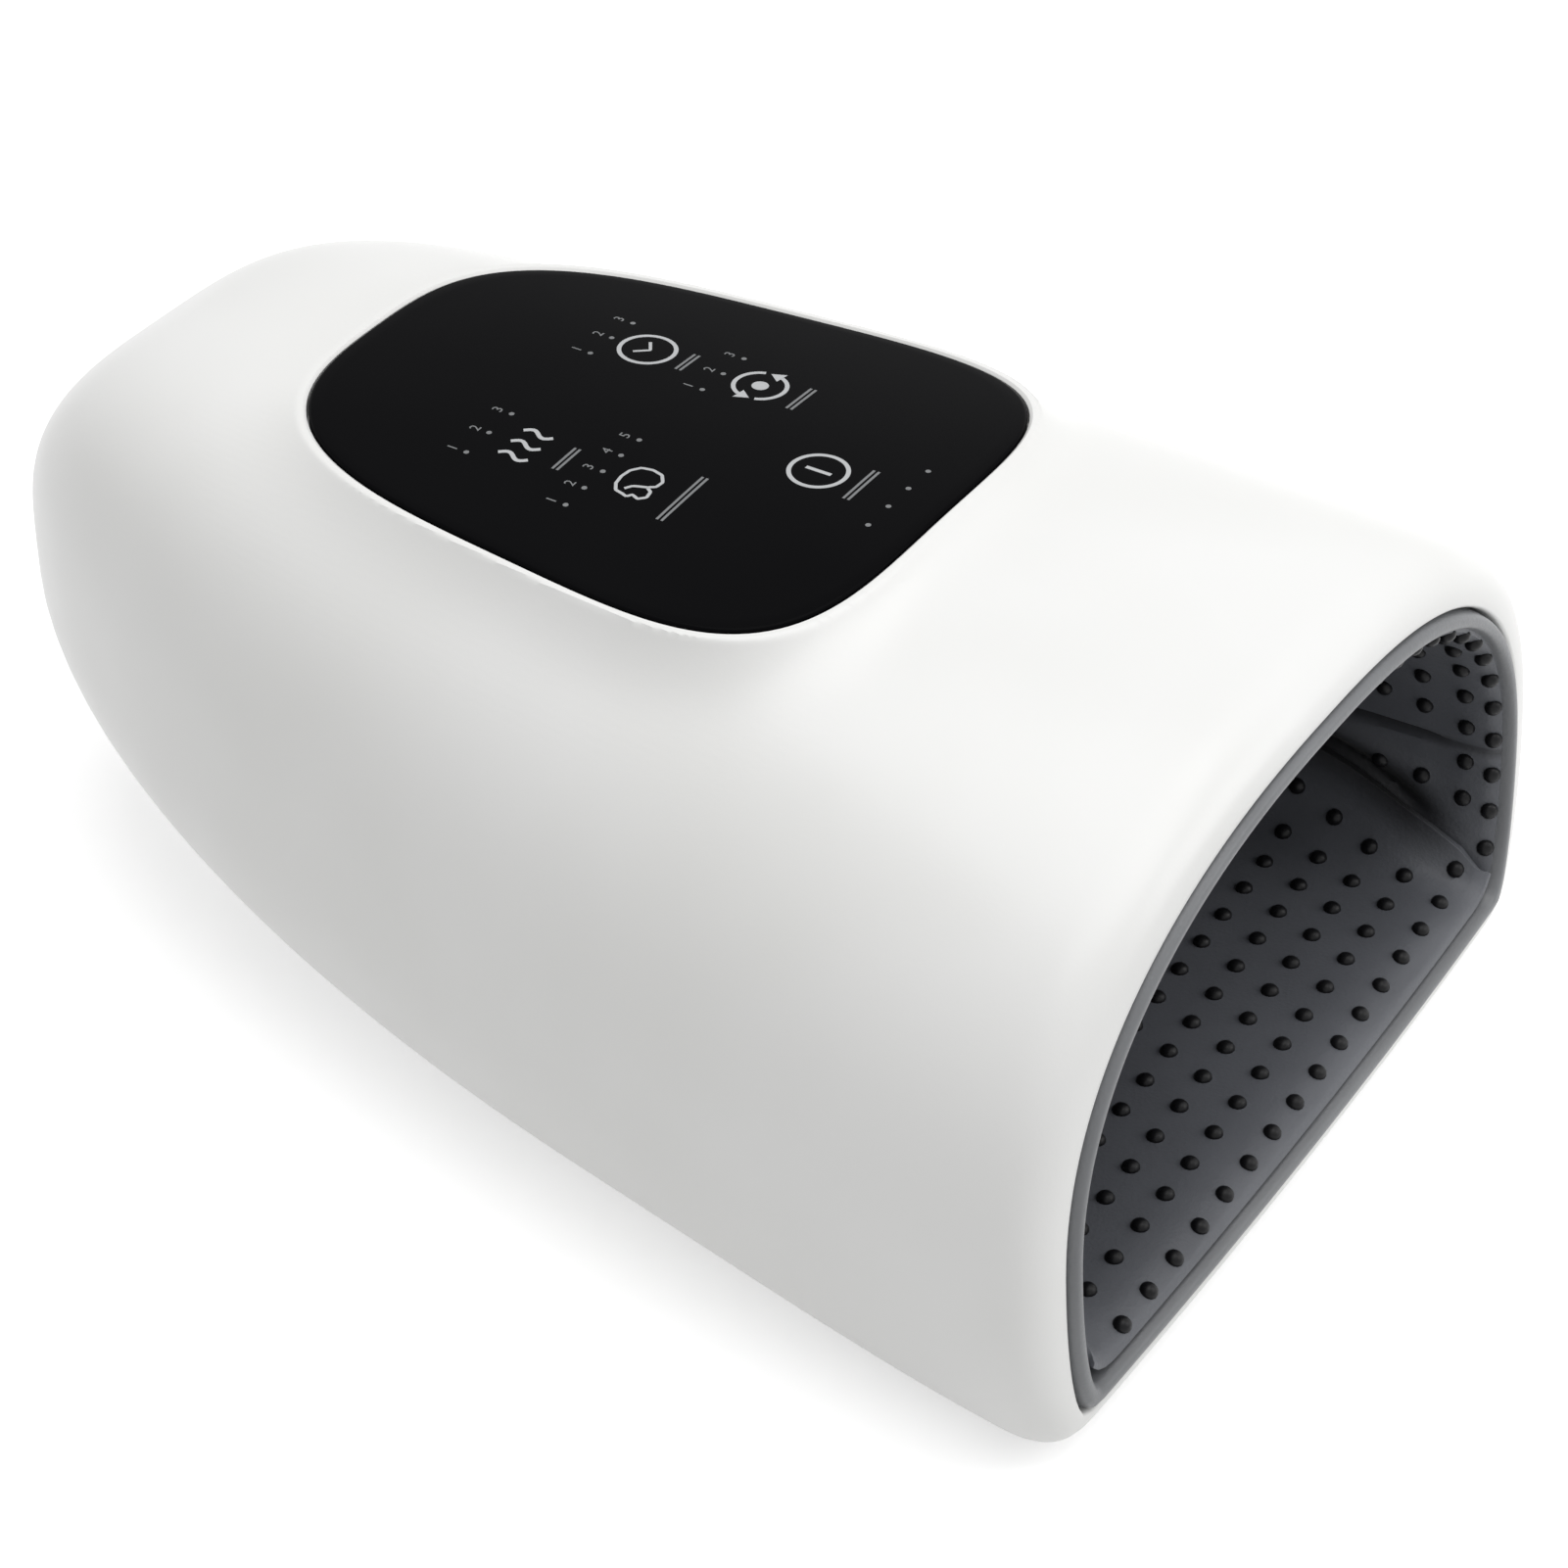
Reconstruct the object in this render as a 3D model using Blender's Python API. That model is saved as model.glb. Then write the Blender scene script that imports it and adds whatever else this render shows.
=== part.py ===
"""Hand massager: a slipper-shaped casing with a padded hand tunnel, air bags, pump and touch panel.

The hand goes in at the mouth, which faces -Y. The closed finger end points along +Y, +Z is up, and
the feet stand on Z = 0. Everything below is laid out from the casing's mouth and underside, and the
chassis empty carries it to the model's origin, under the middle of the whole object.
"""

import math

import bmesh
import bpy

MM = 0.001
DEG = math.pi / 180

# Casing outside
SHELL_LENGTH = 225 * MM
SHELL_WIDTH = 160 * MM
SHELL_HEIGHT = 92.9 * MM
SHELL_WALL = 2.6 * MM
MOUTH_CREST_DROP = 7.2 * MM
CREST_RUN = 117.5 * MM
WAIST_HEIGHT = 30.2 * MM
TIP_WAIST = 46.8 * MM
MOUTH_BASE_TUCK = 12.8 * MM
BASE_TUCK = 22.2 * MM
BASE_TUCK_SHARE = 0.4
TOE_TUCK = 94.6 * MM
MOUTH_LEAN = 5 * MM
MOUTH_BOW = 1.8 * MM
PLAN_TAPER_SHARE = 0.088
PLAN_POWER = 1.74
PLAN_END_POWER = 2.51
CREST_POWER = 14.6
CREST_END_POWER = 1.22
TOE_TUCK_POWER = 2.05
SECTION_POWER = 2.43
SECTION_POWER_TIP = 4.2
SECTION_START_SHARE = 0.24

# Mouth of the casing
LIP_SIDE = 9.6 * MM
LIP_TOP = 5.8 * MM
MOUTH_SILL = 5.5 * MM
MOUTH_WAIST = 30.9 * MM
MOUTH_TUCK = 5 * MM
MOUTH_POWER = 2.39
LIP_ROLL = 9.7 * MM
LIP_POWER = 2.54
LIP_RETURN = 5 * MM
LIP_WALL_SHARE = 0.6

# Touch panel and its seat
PANEL_LENGTH = 99.4 * MM
PANEL_TIP_ROOM = 60.8 * MM
PANEL_FRONT_HALF = 44.4 * MM
PANEL_BACK_HALF = 33.2 * MM
PANEL_CROWN = 2.8 * MM
PANEL_THICK = 2.0 * MM
PANEL_EDGE = 0.5 * MM
PANEL_FRONT_POWER = 3.8
PANEL_BACK_POWER = 3.35
PANEL_RIM = 1.2 * MM
PANEL_FACE_SHARES = (0.45, 0.75)
PANEL_CORE_SHARE = 0.5
PANEL_SOFT_SHARE = 0.3
FLARE_WIDTH = 9 * MM
FLARE_POWER = 0.6
FLARE_SINK = 0.5 * MM
FLARE_SHARES = (0, 0.06, 0.15, 0.28, 0.45, 0.7, 1)
SEAT_CORE_SHARE = 0.6
SEAT_WALL_SHARE = 0.6
GASKET_THICK = 0.5 * MM
GASKET_WIDTH = 3.2 * MM
LEDGE_WIDTH = 4.5 * MM
LEDGE_THICK = 2.0 * MM
GUIDE_INSET = 0.5 * MM
TOUCH_BOARD_THICK = 1.6 * MM
TOUCH_BOARD_TAB = 3 * MM
TOUCH_BOARD_TAB_HALF = 15 * MM

# Clearances
GAP = 0.3 * MM
OVERRUN = 6 * MM

# Hand tunnel
TUNNEL_START = 8.6 * MM
TUNNEL_TIP_ROOM = 49 * MM
TUNNEL_ROOF_DROP = 24.9 * MM
TUNNEL_ROOF_START = 50 * MM
TUNNEL_FALL_RUN = 66 * MM
TUNNEL_TIP_TOP = 34 * MM
TUNNEL_TIP_WAIST = 24 * MM
TUNNEL_PLAN_POWER = 2.3
TUNNEL_PLAN_END_POWER = 2.2
TUNNEL_FALL_POWER = 2.2
TUNNEL_FALL_END_POWER = 2.0
TUNNEL_TUCK = 16 * MM
FINGER_RISE = 9 * MM
FINGER_RISE_RUN = 66 * MM
FRAME_WALL = 2 * MM
FRAME_FLOOR = 4.4 * MM
LINER_THICK = 2.5 * MM
WELT_DEPTH = 7 * MM
WELT_WIDTH = 5.6 * MM
WELT_SILL_WIDTH = 3.6 * MM
WELT_START = 1.2 * MM

# Floor stack, from the frame's floor up
FLOOR_BAG_THICK = 1.8 * MM
FILM_THICK = 0.3 * MM
FLOOR_PAD_THICK = 2.2 * MM
FLOOR_PAD_START = 2 * MM
FLOOR_SIDE_GAP = 0.8 * MM
FLOOR_END_ROOM = 14 * MM
FLOOR_INSET = 6 * MM

# Roof stack, from the lining's roof down
ROOF_FRONT = 52 * MM
ROOF_BACK_ROOM = 40 * MM
ROOF_HALF_ANGLE = 50 * DEG
ROOF_BAG_THICK = 2.6 * MM
ROOF_BAG_INSET = 4 * MM
ROOF_HOLE_INSET = 3 * MM
ROOF_PAD_THICK = 3.5 * MM
ROOF_EDGE = 1.2 * MM

# Underside cover, feet and screws
COVER_FRONT = 26 * MM
COVER_TIP_ROOM = 125 * MM
COVER_FRONT_HALF = 50 * MM
COVER_BACK_HALF = 36 * MM
COVER_POWER = 4
COVER_FLANGE = 1.2 * MM
COVER_RECESS = 1.5 * MM
COVER_LEDGE = 4 * MM
COVER_PLUG = 1.2 * MM
FOOT_RADIUS = 6 * MM
FOOT_STAND = 1.5 * MM
FOOT_RECESS = 0.8 * MM
FOOT_EDGE = 0.5 * MM
FRONT_FOOT_X = 44 * MM
FRONT_FOOT_Y = 16 * MM
REAR_FOOT_X = 25 * MM
REAR_FOOT_TIP_ROOM = 113 * MM
SCREW_HEAD_RADIUS = 2.2 * MM
SCREW_HEAD_THICK = 1.0 * MM
SCREW_SHANK_RADIUS = 1.0 * MM
SCREW_DRIVE_RADIUS = 0.9 * MM
SCREW_DRIVE_DEPTH = 0.5 * MM
SCREW_BOSS_RADIUS = 3.4 * MM
SCREW_LEAD = 1.9 * MM
SCREW_SEAT = 0.7 * MM
COVER_SCREW_INSET = 11 * MM
COVER_SCREW_SHARES = (0.18, 0.5, 0.82)

# Main board on the tunnel's roof
BOARD_WIDTH = 52 * MM
BOARD_DEPTH = 36 * MM
BOARD_THICK = 1.6 * MM
BOARD_Y = 78 * MM
BOARD_STAND = 5.5 * MM
BOARD_POST_RADIUS = 2.8 * MM
BOARD_SCREW_INSET = 4 * MM
BOARD_SCREW_REACH = 3.4 * MM

# Battery above the tunnel's finger end
CELL_RADIUS = 9.2 * MM
CELL_LENGTH = 65 * MM
CELL_TERMINAL = 1.0 * MM
CELL_TERMINAL_RADIUS = 3 * MM
FRONT_CELL_TIP_ROOM = 67 * MM
FRONT_CELL_DROP = 20.2 * MM
REAR_CELL_TIP_ROOM = 47 * MM
REAR_CELL_DROP = 29.9 * MM
TRAY_HALF = 28 * MM
TRAY_FRONT_TIP_ROOM = 75.5 * MM
TRAY_BACK_TIP_ROOM = 38 * MM
TRAY_FLOOR_DROP = 42.1 * MM
TRAY_TOP_DROP = 21.9 * MM
TRAY_RIB = 3 * MM
TRAY_BAYS = 3

# Air pump behind the finger end
PUMP_TIP_ROOM = 34.5 * MM
PUMP_Z = 38.2 * MM
PUMP_RADIUS = 12 * MM
PUMP_BACK = -26 * MM
PUMP_SPLIT = 2 * MM
PUMP_FRONT = 22 * MM
PUMP_CAN_WALL = 1.2 * MM
PUMP_BEARING_RADIUS = 3.4 * MM
PUMP_BEARING_DEPTH = 4 * MM
PUMP_HEAD_SIZE = 21 * MM
PUMP_HEAD_EDGE = 3 * MM
PUMP_CHAMBER_RADIUS = 8 * MM
PUMP_CHAMBER_END = 14 * MM
PUMP_NOZZLE_RADIUS = 2.4 * MM
PUMP_NOZZLE_LENGTH = 5 * MM
SHAFT_RADIUS = 1.2 * MM
ARMATURE_RADIUS = 9.6 * MM
ARMATURE_BACK = -19 * MM
ARMATURE_FRONT = -3 * MM
ECCENTRIC_RADIUS = 5 * MM
ECCENTRIC_THROW = 1.5 * MM
ECCENTRIC_BACK = 5 * MM
ECCENTRIC_FRONT = 11 * MM

# Release valve under the pump
VALVE_TIP_ROOM = 38.5 * MM
VALVE_Z = 19.4 * MM
VALVE_RADIUS = 5.6 * MM
VALVE_BACK = -14 * MM
VALVE_FRONT = 7 * MM
VALVE_BORE_RADIUS = 2.6 * MM
VALVE_BORE_BACK = -9 * MM
PLUNGER_RADIUS = 2.2 * MM
PLUNGER_BACK = -2 * MM
PLUNGER_HEAD_RADIUS = 4 * MM
PLUNGER_HEAD_THICK = 1.6 * MM
PLUNGER_TRAVEL = 1.5 * MM
SPRING_RADIUS = 1.75 * MM
SPRING_WIRE_RADIUS = 0.3 * MM
SPRING_TURNS = 4
SPRING_STEPS_PER_TURN = 9
SPRING_WIRE_STEPS = 5

# Bracket that carries the pump and the valve
BRACKET_HALF = 22 * MM
BRACKET_PLATE = 1.6 * MM
BRACKET_TOP = 48 * MM
BRACKET_FLOOR = 17 * MM
BRACKET_CHEEK = 3 * MM
BRACKET_CHEEK_X = 10 * MM
BRACKET_REACH = 4 * MM

# Charging inlet in the far side wall
SOCKET_TIP_ROOM = 65 * MM
SOCKET_Z = 38 * MM
SOCKET_WIDTH = 9 * MM
SOCKET_THICK = 3.3 * MM
SOCKET_DEPTH = 7.4 * MM
SOCKET_WALL = 0.4 * MM
SOCKET_TONGUE_WIDTH = 6.6 * MM
SOCKET_TONGUE_THICK = 0.7 * MM
SOCKET_TONGUE_DEPTH = 5 * MM
SOCKET_FLANGE = 3.5 * MM
SOCKET_FLANGE_THICK = 1.4 * MM
SOCKET_FLAT_INSET = 1.6 * MM

# Mesh density
ARCH_STEPS = 18
CORNER_STEPS = 6
FLOOR_STEPS = 2
BODY_STATIONS = 16
LIP_STEPS = 4
OUTLINE_STEPS = 36
CIRCLE_STEPS = 22
SMALL_CIRCLE_STEPS = 12
TUNNEL_STATIONS = 12
TUNNEL_ARCH_STEPS = 14
TUNNEL_CORNER_STEPS = 3
WELT_STEPS = 8
ROOF_STATIONS = 6
ROOF_ARCH_STEPS = 8
FLOOR_STATIONS = 9
FLOOR_CROSS_STEPS = 2

# Joining of points that fall together
MERGE_DISTANCE = 0.01 * MM

# Places and levels worked out from the sizes above
MOUTH_CREST = SHELL_HEIGHT - MOUTH_CREST_DROP
MOUTH_TOP = MOUTH_CREST - LIP_TOP
MOUTH_WIDTH = SHELL_WIDTH - 2 * LIP_SIDE
PANEL_BACK = SHELL_LENGTH - PANEL_TIP_ROOM
PANEL_FRONT = PANEL_BACK - PANEL_LENGTH
TUNNEL_END = SHELL_LENGTH - TUNNEL_TIP_ROOM
TUNNEL_ROOF = SHELL_HEIGHT - TUNNEL_ROOF_DROP
TUNNEL_FALL_START = TUNNEL_END - TUNNEL_FALL_RUN
FINGER_RISE_START = TUNNEL_END - FINGER_RISE_RUN
ROOF_BACK = TUNNEL_END - ROOF_BACK_ROOM
COVER_BACK = SHELL_LENGTH - COVER_TIP_ROOM
REAR_FOOT_Y = SHELL_LENGTH - REAR_FOOT_TIP_ROOM
BOARD_LEVEL = TUNNEL_ROOF + BOARD_STAND
FRONT_CELL_Y = SHELL_LENGTH - FRONT_CELL_TIP_ROOM
FRONT_CELL_Z = SHELL_HEIGHT - FRONT_CELL_DROP
REAR_CELL_Y = SHELL_LENGTH - REAR_CELL_TIP_ROOM
REAR_CELL_Z = SHELL_HEIGHT - REAR_CELL_DROP
TRAY_FRONT = SHELL_LENGTH - TRAY_FRONT_TIP_ROOM
TRAY_BACK = SHELL_LENGTH - TRAY_BACK_TIP_ROOM
TRAY_FLOOR = SHELL_HEIGHT - TRAY_FLOOR_DROP
TRAY_TOP = SHELL_HEIGHT - TRAY_TOP_DROP
PUMP_Y = SHELL_LENGTH - PUMP_TIP_ROOM
VALVE_Y = SHELL_LENGTH - VALVE_TIP_ROOM
SOCKET_Y = SHELL_LENGTH - SOCKET_TIP_ROOM
PANEL_SEAT_DROP = PANEL_THICK + GASKET_THICK + 2 * GAP
TAB_CROWN = PANEL_CROWN * (TOUCH_BOARD_TAB_HALF / PANEL_FRONT_HALF) ** 2
LEDGE_UNDERSIDE = SHELL_HEIGHT - TAB_CROWN - PANEL_SEAT_DROP - LEDGE_THICK
FLOOR_BAG_LEVEL = FRAME_FLOOR + FRAME_WALL + GAP
FILM_LEVEL = FLOOR_BAG_LEVEL + FLOOR_BAG_THICK + GAP
FLOOR_PAD_LEVEL = FILM_LEVEL + FILM_THICK + GAP
ORIGIN_Y = (SHELL_LENGTH + MOUTH_LEAN * MOUTH_SILL / SHELL_HEIGHT) / 2


def material(name, colour, roughness, metallic=0.0):
    """A plain Principled material."""
    made = bpy.data.materials.new(name)
    made.use_nodes = True
    shader = made.node_tree.nodes["Principled BSDF"]
    shader.inputs["Base Color"].default_value = (*colour, 1)
    shader.inputs["Roughness"].default_value = roughness
    shader.inputs["Metallic"].default_value = metallic
    made.diffuse_color = (*colour, 1)
    return made


def add_object(name, mesh, chassis, finish, sharp_angle=35 * DEG):
    """Put a mesh in the scene under the chassis, shaded smooth with its real edges sharp."""
    made = bpy.data.objects.new(name, mesh)
    bpy.context.collection.objects.link(made)
    made.parent = chassis
    if finish:
        mesh.materials.append(finish)
    mesh.shade_smooth()
    mesh.set_sharp_from_angle(angle=sharp_angle)
    return made


def add_cutter(name, mesh, chassis):
    """A tool body for a Boolean: never rendered and never a piece of the product."""
    made = bpy.data.objects.new(name, mesh)
    bpy.context.collection.objects.link(made)
    made.parent = chassis
    made.hide_render = True
    made.display_type = "WIRE"
    return made


def boolean(target, tool, operation):
    """Cut, join or intersect the target with the tool."""
    step = target.modifiers.new(f"{operation.lower()} {tool.name}", "BOOLEAN")
    step.object = tool
    step.operation = operation
    step.solver = "EXACT"


def bevel(target, width, segments=2, angle=40 * DEG):
    """Round the target's sharp edges."""
    step = target.modifiers.new("edges", "BEVEL")
    step.width = width
    step.segments = segments
    step.limit_method = "ANGLE"
    step.angle_limit = angle
    step.use_clamp_overlap = True


def mesh_from_bm(name, bm):
    """Finish a bmesh: merged, facing out, as mesh data."""
    bmesh.ops.remove_doubles(bm, verts=bm.verts, dist=MERGE_DISTANCE)
    bmesh.ops.recalc_face_normals(bm, faces=bm.faces)
    mesh = bpy.data.meshes.new(name)
    bm.to_mesh(mesh)
    bm.free()
    return mesh


def skin_rows(bm, rows, close_loop):
    """Quads between neighbouring rows of points; returns the rows of vertices."""
    made = [[bm.verts.new(point) for point in row] for row in rows]
    for lower, upper in zip(made, made[1:]):
        count = len(lower)
        last = count if close_loop else count - 1
        for i in range(last):
            j = (i + 1) % count
            bm.faces.new((lower[i], lower[j], upper[j], upper[i]))
    return made


def rings_mesh(name, rings):
    """A closed body through rings of points, capped at its first and last ring."""
    bm = bmesh.new()
    made = skin_rows(bm, rings, True)
    bm.faces.new(made[0])
    bm.faces.new(made[-1])
    return mesh_from_bm(name, bm)


def sheet_mesh(name, outer_rows, inner_rows, pointed=False):
    """A closed sheet between two matching grids; a pointed one meets itself at its last row."""
    bm = bmesh.new()
    outer = skin_rows(bm, outer_rows, False)
    inner = skin_rows(bm, inner_rows, False)

    def edge_of(grid):
        path = [row[0] for row in reversed(grid)] + grid[0][1:] + [row[-1] for row in grid[1:]]
        return path if pointed else path + grid[-1][-2:0:-1]

    rim_a = edge_of(outer)
    rim_b = edge_of(inner)
    last = len(rim_a) - 1 if pointed else len(rim_a)
    for i in range(last):
        j = (i + 1) % len(rim_a)
        bm.faces.new((rim_a[i], rim_a[j], rim_b[j], rim_b[i]))
    return mesh_from_bm(name, bm)


def box_mesh(name, low, high):
    """A box between two corners."""
    xs, ys, zs = zip(low, high)
    rings = [[(xs[0], ys[0], z), (xs[1], ys[0], z), (xs[1], ys[1], z), (xs[0], ys[1], z)] for z in zs]
    return rings_mesh(name, rings)


def turned_rings(profile, centre, axis, points):
    """Rings round an axis through centre; profile is a list of (place along the axis, radius)."""
    rings = []
    for place, radius in profile:
        ring = []
        for i in range(points):
            angle = 2 * math.pi * i / points
            across = (radius * math.cos(angle), radius * math.sin(angle))
            if axis == "X":
                offset = (place, across[0], across[1])
            else:
                offset = (across[0], across[1], place)
            ring.append(tuple(c + o for c, o in zip(centre, offset)))
        rings.append(ring)
    return rings


def turned_mesh(name, profile, centre, axis="Z", points=CIRCLE_STEPS):
    """A turned body; the profile may fold back inside itself to leave a blind bore."""
    return rings_mesh(name, turned_rings(profile, centre, axis, points))


def sign_power(value, power):
    """A power that keeps the sign."""
    return math.copysign(abs(value) ** power, value)


def smooth_step(value):
    """0 to 1 with level ends."""
    held = min(max(value, 0), 1)
    return held * held * (3 - 2 * held)


def section_stations(arch_steps, corner_steps, floor_steps):
    """Places round a section: over the arch, down a corner, along the floor and up again."""
    stations = [("arch", math.pi * i / arch_steps) for i in range(arch_steps + 1)]
    stations += [("left", math.pi / 2 * i / corner_steps) for i in range(1, corner_steps + 1)]
    if floor_steps:
        stations += [("floor", -1 + 2 * i / floor_steps) for i in range(1, floor_steps)]
    stations += [("right", math.pi / 2 * i / corner_steps) for i in range(corner_steps, 0, -1)]
    return stations


def open_stations(arch_steps, corner_steps):
    """The same places without the floor, from the right foot over the arch to the left foot."""
    stations = [("right", math.pi / 2 * i / corner_steps) for i in range(corner_steps, 0, -1)]
    stations += [("arch", math.pi * i / arch_steps) for i in range(arch_steps + 1)]
    stations += [("left", math.pi / 2 * i / corner_steps) for i in range(1, corner_steps + 1)]
    return stations


def section_point(station, half, low, waist, top, power, tuck):
    """The point (x, z) of a section, and how far it is tucked under, from 0 to 1."""
    zone, value = station
    if zone == "arch":
        x = half * sign_power(math.cos(value), 2 / power)
        z = waist + (top - waist) * abs(math.sin(value)) ** (2 / power)
        return x, z, 0
    if zone == "floor":
        return value * (half - tuck), low, 1
    side = 1 if zone == "right" else -1
    under = 1 - math.cos(value)
    return side * (half - tuck * under), low + (waist - low) * (1 - math.sin(value)), under


def plan_half(share):
    """Half the casing's width at a share of its length."""
    round_off = max(1 - share ** PLAN_POWER, 0) ** (1 / PLAN_END_POWER)
    return SHELL_WIDTH / 2 * (1 - PLAN_TAPER_SHARE * share) * round_off


def crest(share):
    """The height of the casing's ridge at a share of its length."""
    climb = min(share * SHELL_LENGTH / CREST_RUN, 1)
    ridge = MOUTH_CREST + (SHELL_HEIGHT - MOUTH_CREST) * (2 * climb - climb * climb)
    return TIP_WAIST + (ridge - TIP_WAIST) * max(1 - share ** CREST_POWER, 0) ** (1 / CREST_END_POWER)


def waist(share):
    """The height of the casing's widest level at a share of its length."""
    return WAIST_HEIGHT + (TIP_WAIST - WAIST_HEIGHT) * share ** 2


def section_power(share):
    """How square the casing's arch is at a share of its length."""
    blend = max(share - SECTION_START_SHARE, 0) / (1 - SECTION_START_SHARE)
    return SECTION_POWER + (SECTION_POWER_TIP - SECTION_POWER) * blend ** 2


def base_tuck(share):
    """How far the casing's underside is drawn in from its widest level at a share of its length."""
    tuck = MOUTH_BASE_TUCK + (BASE_TUCK - MOUTH_BASE_TUCK) * smooth_step(share / BASE_TUCK_SHARE)
    return tuck * plan_half(share) / (SHELL_WIDTH / 2)


def mouth_shift(x, z, share):
    """The mouth leans back at the top and bows back at the sides, and the tip does neither."""
    lean = MOUTH_LEAN * z / SHELL_HEIGHT
    bow = MOUTH_BOW * (x / (SHELL_WIDTH / 2)) ** 2
    return (lean + bow) * (1 - share) ** 2


def shell_point(station, share):
    """A point of the casing's outer surface."""
    half = plan_half(share)
    x, z, under = section_point(
        station, half, 0, waist(share), crest(share), section_power(share), base_tuck(share)
    )
    y = SHELL_LENGTH * share - TOE_TUCK * under * share ** TOE_TUCK_POWER
    return x, y + mouth_shift(x, z, share), z


def mouth_point(station, inset=0.0, sill_inset=None):
    """A point (x, z) of the mouth's outline, drawn in by an inset."""
    sill = inset if sill_inset is None else sill_inset
    half = MOUTH_WIDTH / 2 - inset
    x, z, _ = section_point(
        station, half, MOUTH_SILL + sill, MOUTH_WAIST, MOUTH_TOP - inset, MOUTH_POWER, MOUTH_TUCK
    )
    return x, z


def shell_top(x, y):
    """The height of the casing's outer surface over a point of the plan."""
    share = y / SHELL_LENGTH
    level = crest(share)
    for _ in range(3):
        share = (y - mouth_shift(x, level, share)) / SHELL_LENGTH
        half = plan_half(share)
        power = section_power(share)
        across = max(1 - abs(x / half) ** power, 0) ** (1 / power)
        level = waist(share) + (crest(share) - waist(share)) * across
    return level


def shell_half_at(y, z):
    """Half the casing's outer width at a length and a height, above its widest level or at it."""
    share = y / SHELL_LENGTH
    rise = max(z - waist(share), 0) / (crest(share) - waist(share))
    power = section_power(share)
    return plan_half(share) * max(1 - rise ** power, 0) ** (1 / power)


def tapered_outline(front, back, front_half, back_half, powers, offset=0.0, share=1.0):
    """A rounded outline, wide at the front and narrow at the back; powers are (front, back)."""
    middle = (front + back) / 2
    half_length = (back - front) / 2
    mean_half = (front_half + back_half) / 2
    taper = (back_half - front_half) / 2
    points = []
    for i in range(OUTLINE_STEPS):
        angle = 2 * math.pi * i / OUTLINE_STEPS
        power = powers[0] if math.sin(angle) < 0 else powers[1]
        along = sign_power(math.sin(angle), 2 / power)
        across = sign_power(math.cos(angle), 2 / power)
        x = (mean_half + taper * along + offset) * across
        y = middle + (half_length + offset) * along
        points.append((share * x, middle + share * (y - middle)))
    return points


def panel_outline(offset=0.0, share=1.0):
    """The touch panel's outline."""
    powers = (PANEL_FRONT_POWER, PANEL_BACK_POWER)
    return tapered_outline(
        PANEL_FRONT, PANEL_BACK, PANEL_FRONT_HALF, PANEL_BACK_HALF, powers, offset, share
    )


def cover_outline(offset=0.0):
    """The underside cover's outline."""
    powers = (COVER_POWER, COVER_POWER)
    return tapered_outline(COVER_FRONT, COVER_BACK, COVER_FRONT_HALF, COVER_BACK_HALF, powers, offset)


def panel_level(x):
    """The height of the panel's domed face."""
    return SHELL_HEIGHT - PANEL_CROWN * (x / PANEL_FRONT_HALF) ** 2


def panel_ring(offset, drop, share=1.0):
    """A ring of the panel's outline, lying a drop under the panel's face."""
    return [(x, y, panel_level(x) - drop) for x, y in panel_outline(offset, share)]


def flat_ring(outline, level):
    """A level ring over an outline."""
    return [(x, y, level) for x, y in outline]


def shell_skin_mesh():
    """The casing's outer surface: the rolled lip, then stations along the body to the tip."""
    stations = section_stations(ARCH_STEPS, CORNER_STEPS, FLOOR_STEPS)
    rows = [[lip_point(s, 0, LIP_RETURN) for s in stations]]
    for step in range(LIP_STEPS):
        angle = math.pi / 2 * (1 - step / LIP_STEPS)
        outward = sign_power(math.cos(angle), 2 / LIP_POWER) if step else 0
        depth = LIP_ROLL * (1 - math.sin(angle) ** (2 / LIP_POWER))
        rows.append([lip_point(s, outward, depth) for s in stations])
    first = math.asin((LIP_ROLL / SHELL_LENGTH) ** (PLAN_POWER / 2))
    for step in range(BODY_STATIONS + 1):
        angle = first + (math.pi / 2 - first) * step / BODY_STATIONS
        share = math.sin(angle) ** (2 / PLAN_POWER)
        rows.append([shell_point(s, min(share, 1)) for s in stations])
    bm = bmesh.new()
    skin_rows(bm, rows, True)
    bmesh.ops.remove_doubles(bm, verts=bm.verts, dist=MERGE_DISTANCE)
    bmesh.ops.recalc_face_normals(bm, faces=bm.faces)
    mesh = bpy.data.meshes.new("upper_shell")
    bm.to_mesh(mesh)
    bm.free()
    return mesh


def lip_point(station, outward, depth):
    """A point of the lip, from the mouth's edge (outward 0) to the casing's side (outward 1)."""
    share = depth / SHELL_LENGTH
    outer_x, _, outer_z = shell_point(station, share)
    inner_x, inner_z = mouth_point(station)
    x = inner_x + (outer_x - inner_x) * outward
    z = inner_z + (outer_z - inner_z) * outward
    return x, depth + mouth_shift(x, z, share), z


def panel_seat_mesh():
    """The raised seat round the panel, flowing into the casing through a soft flare."""
    rings = [panel_ring(0, 0, SEAT_CORE_SHARE)]
    for share in FLARE_SHARES:
        ring = []
        for x, y in panel_outline(PANEL_RIM + FLARE_WIDTH * share):
            base = shell_top(x, y)
            height = base + (panel_level(x) - base) * (1 - smooth_step(share ** FLARE_POWER))
            ring.append((x, y, height))
        rings.append(ring)
    skirt = panel_outline(PANEL_RIM + FLARE_WIDTH + FLARE_SINK)
    rings.append([(x, y, shell_top(x, y) - FLARE_SINK) for x, y in skirt])
    under_drop = PANEL_SEAT_DROP + LEDGE_THICK
    for offset in (FLARE_WIDTH / 2, 0, -LEDGE_WIDTH - OVERRUN):
        ring = []
        for x, y in panel_outline(offset):
            in_wall = shell_top(x, y) - SHELL_WALL * SEAT_WALL_SHARE
            ring.append((x, y, min(in_wall, panel_level(x) - under_drop)))
        rings.append(ring)
    return rings_mesh("panel_seat", rings)


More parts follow.
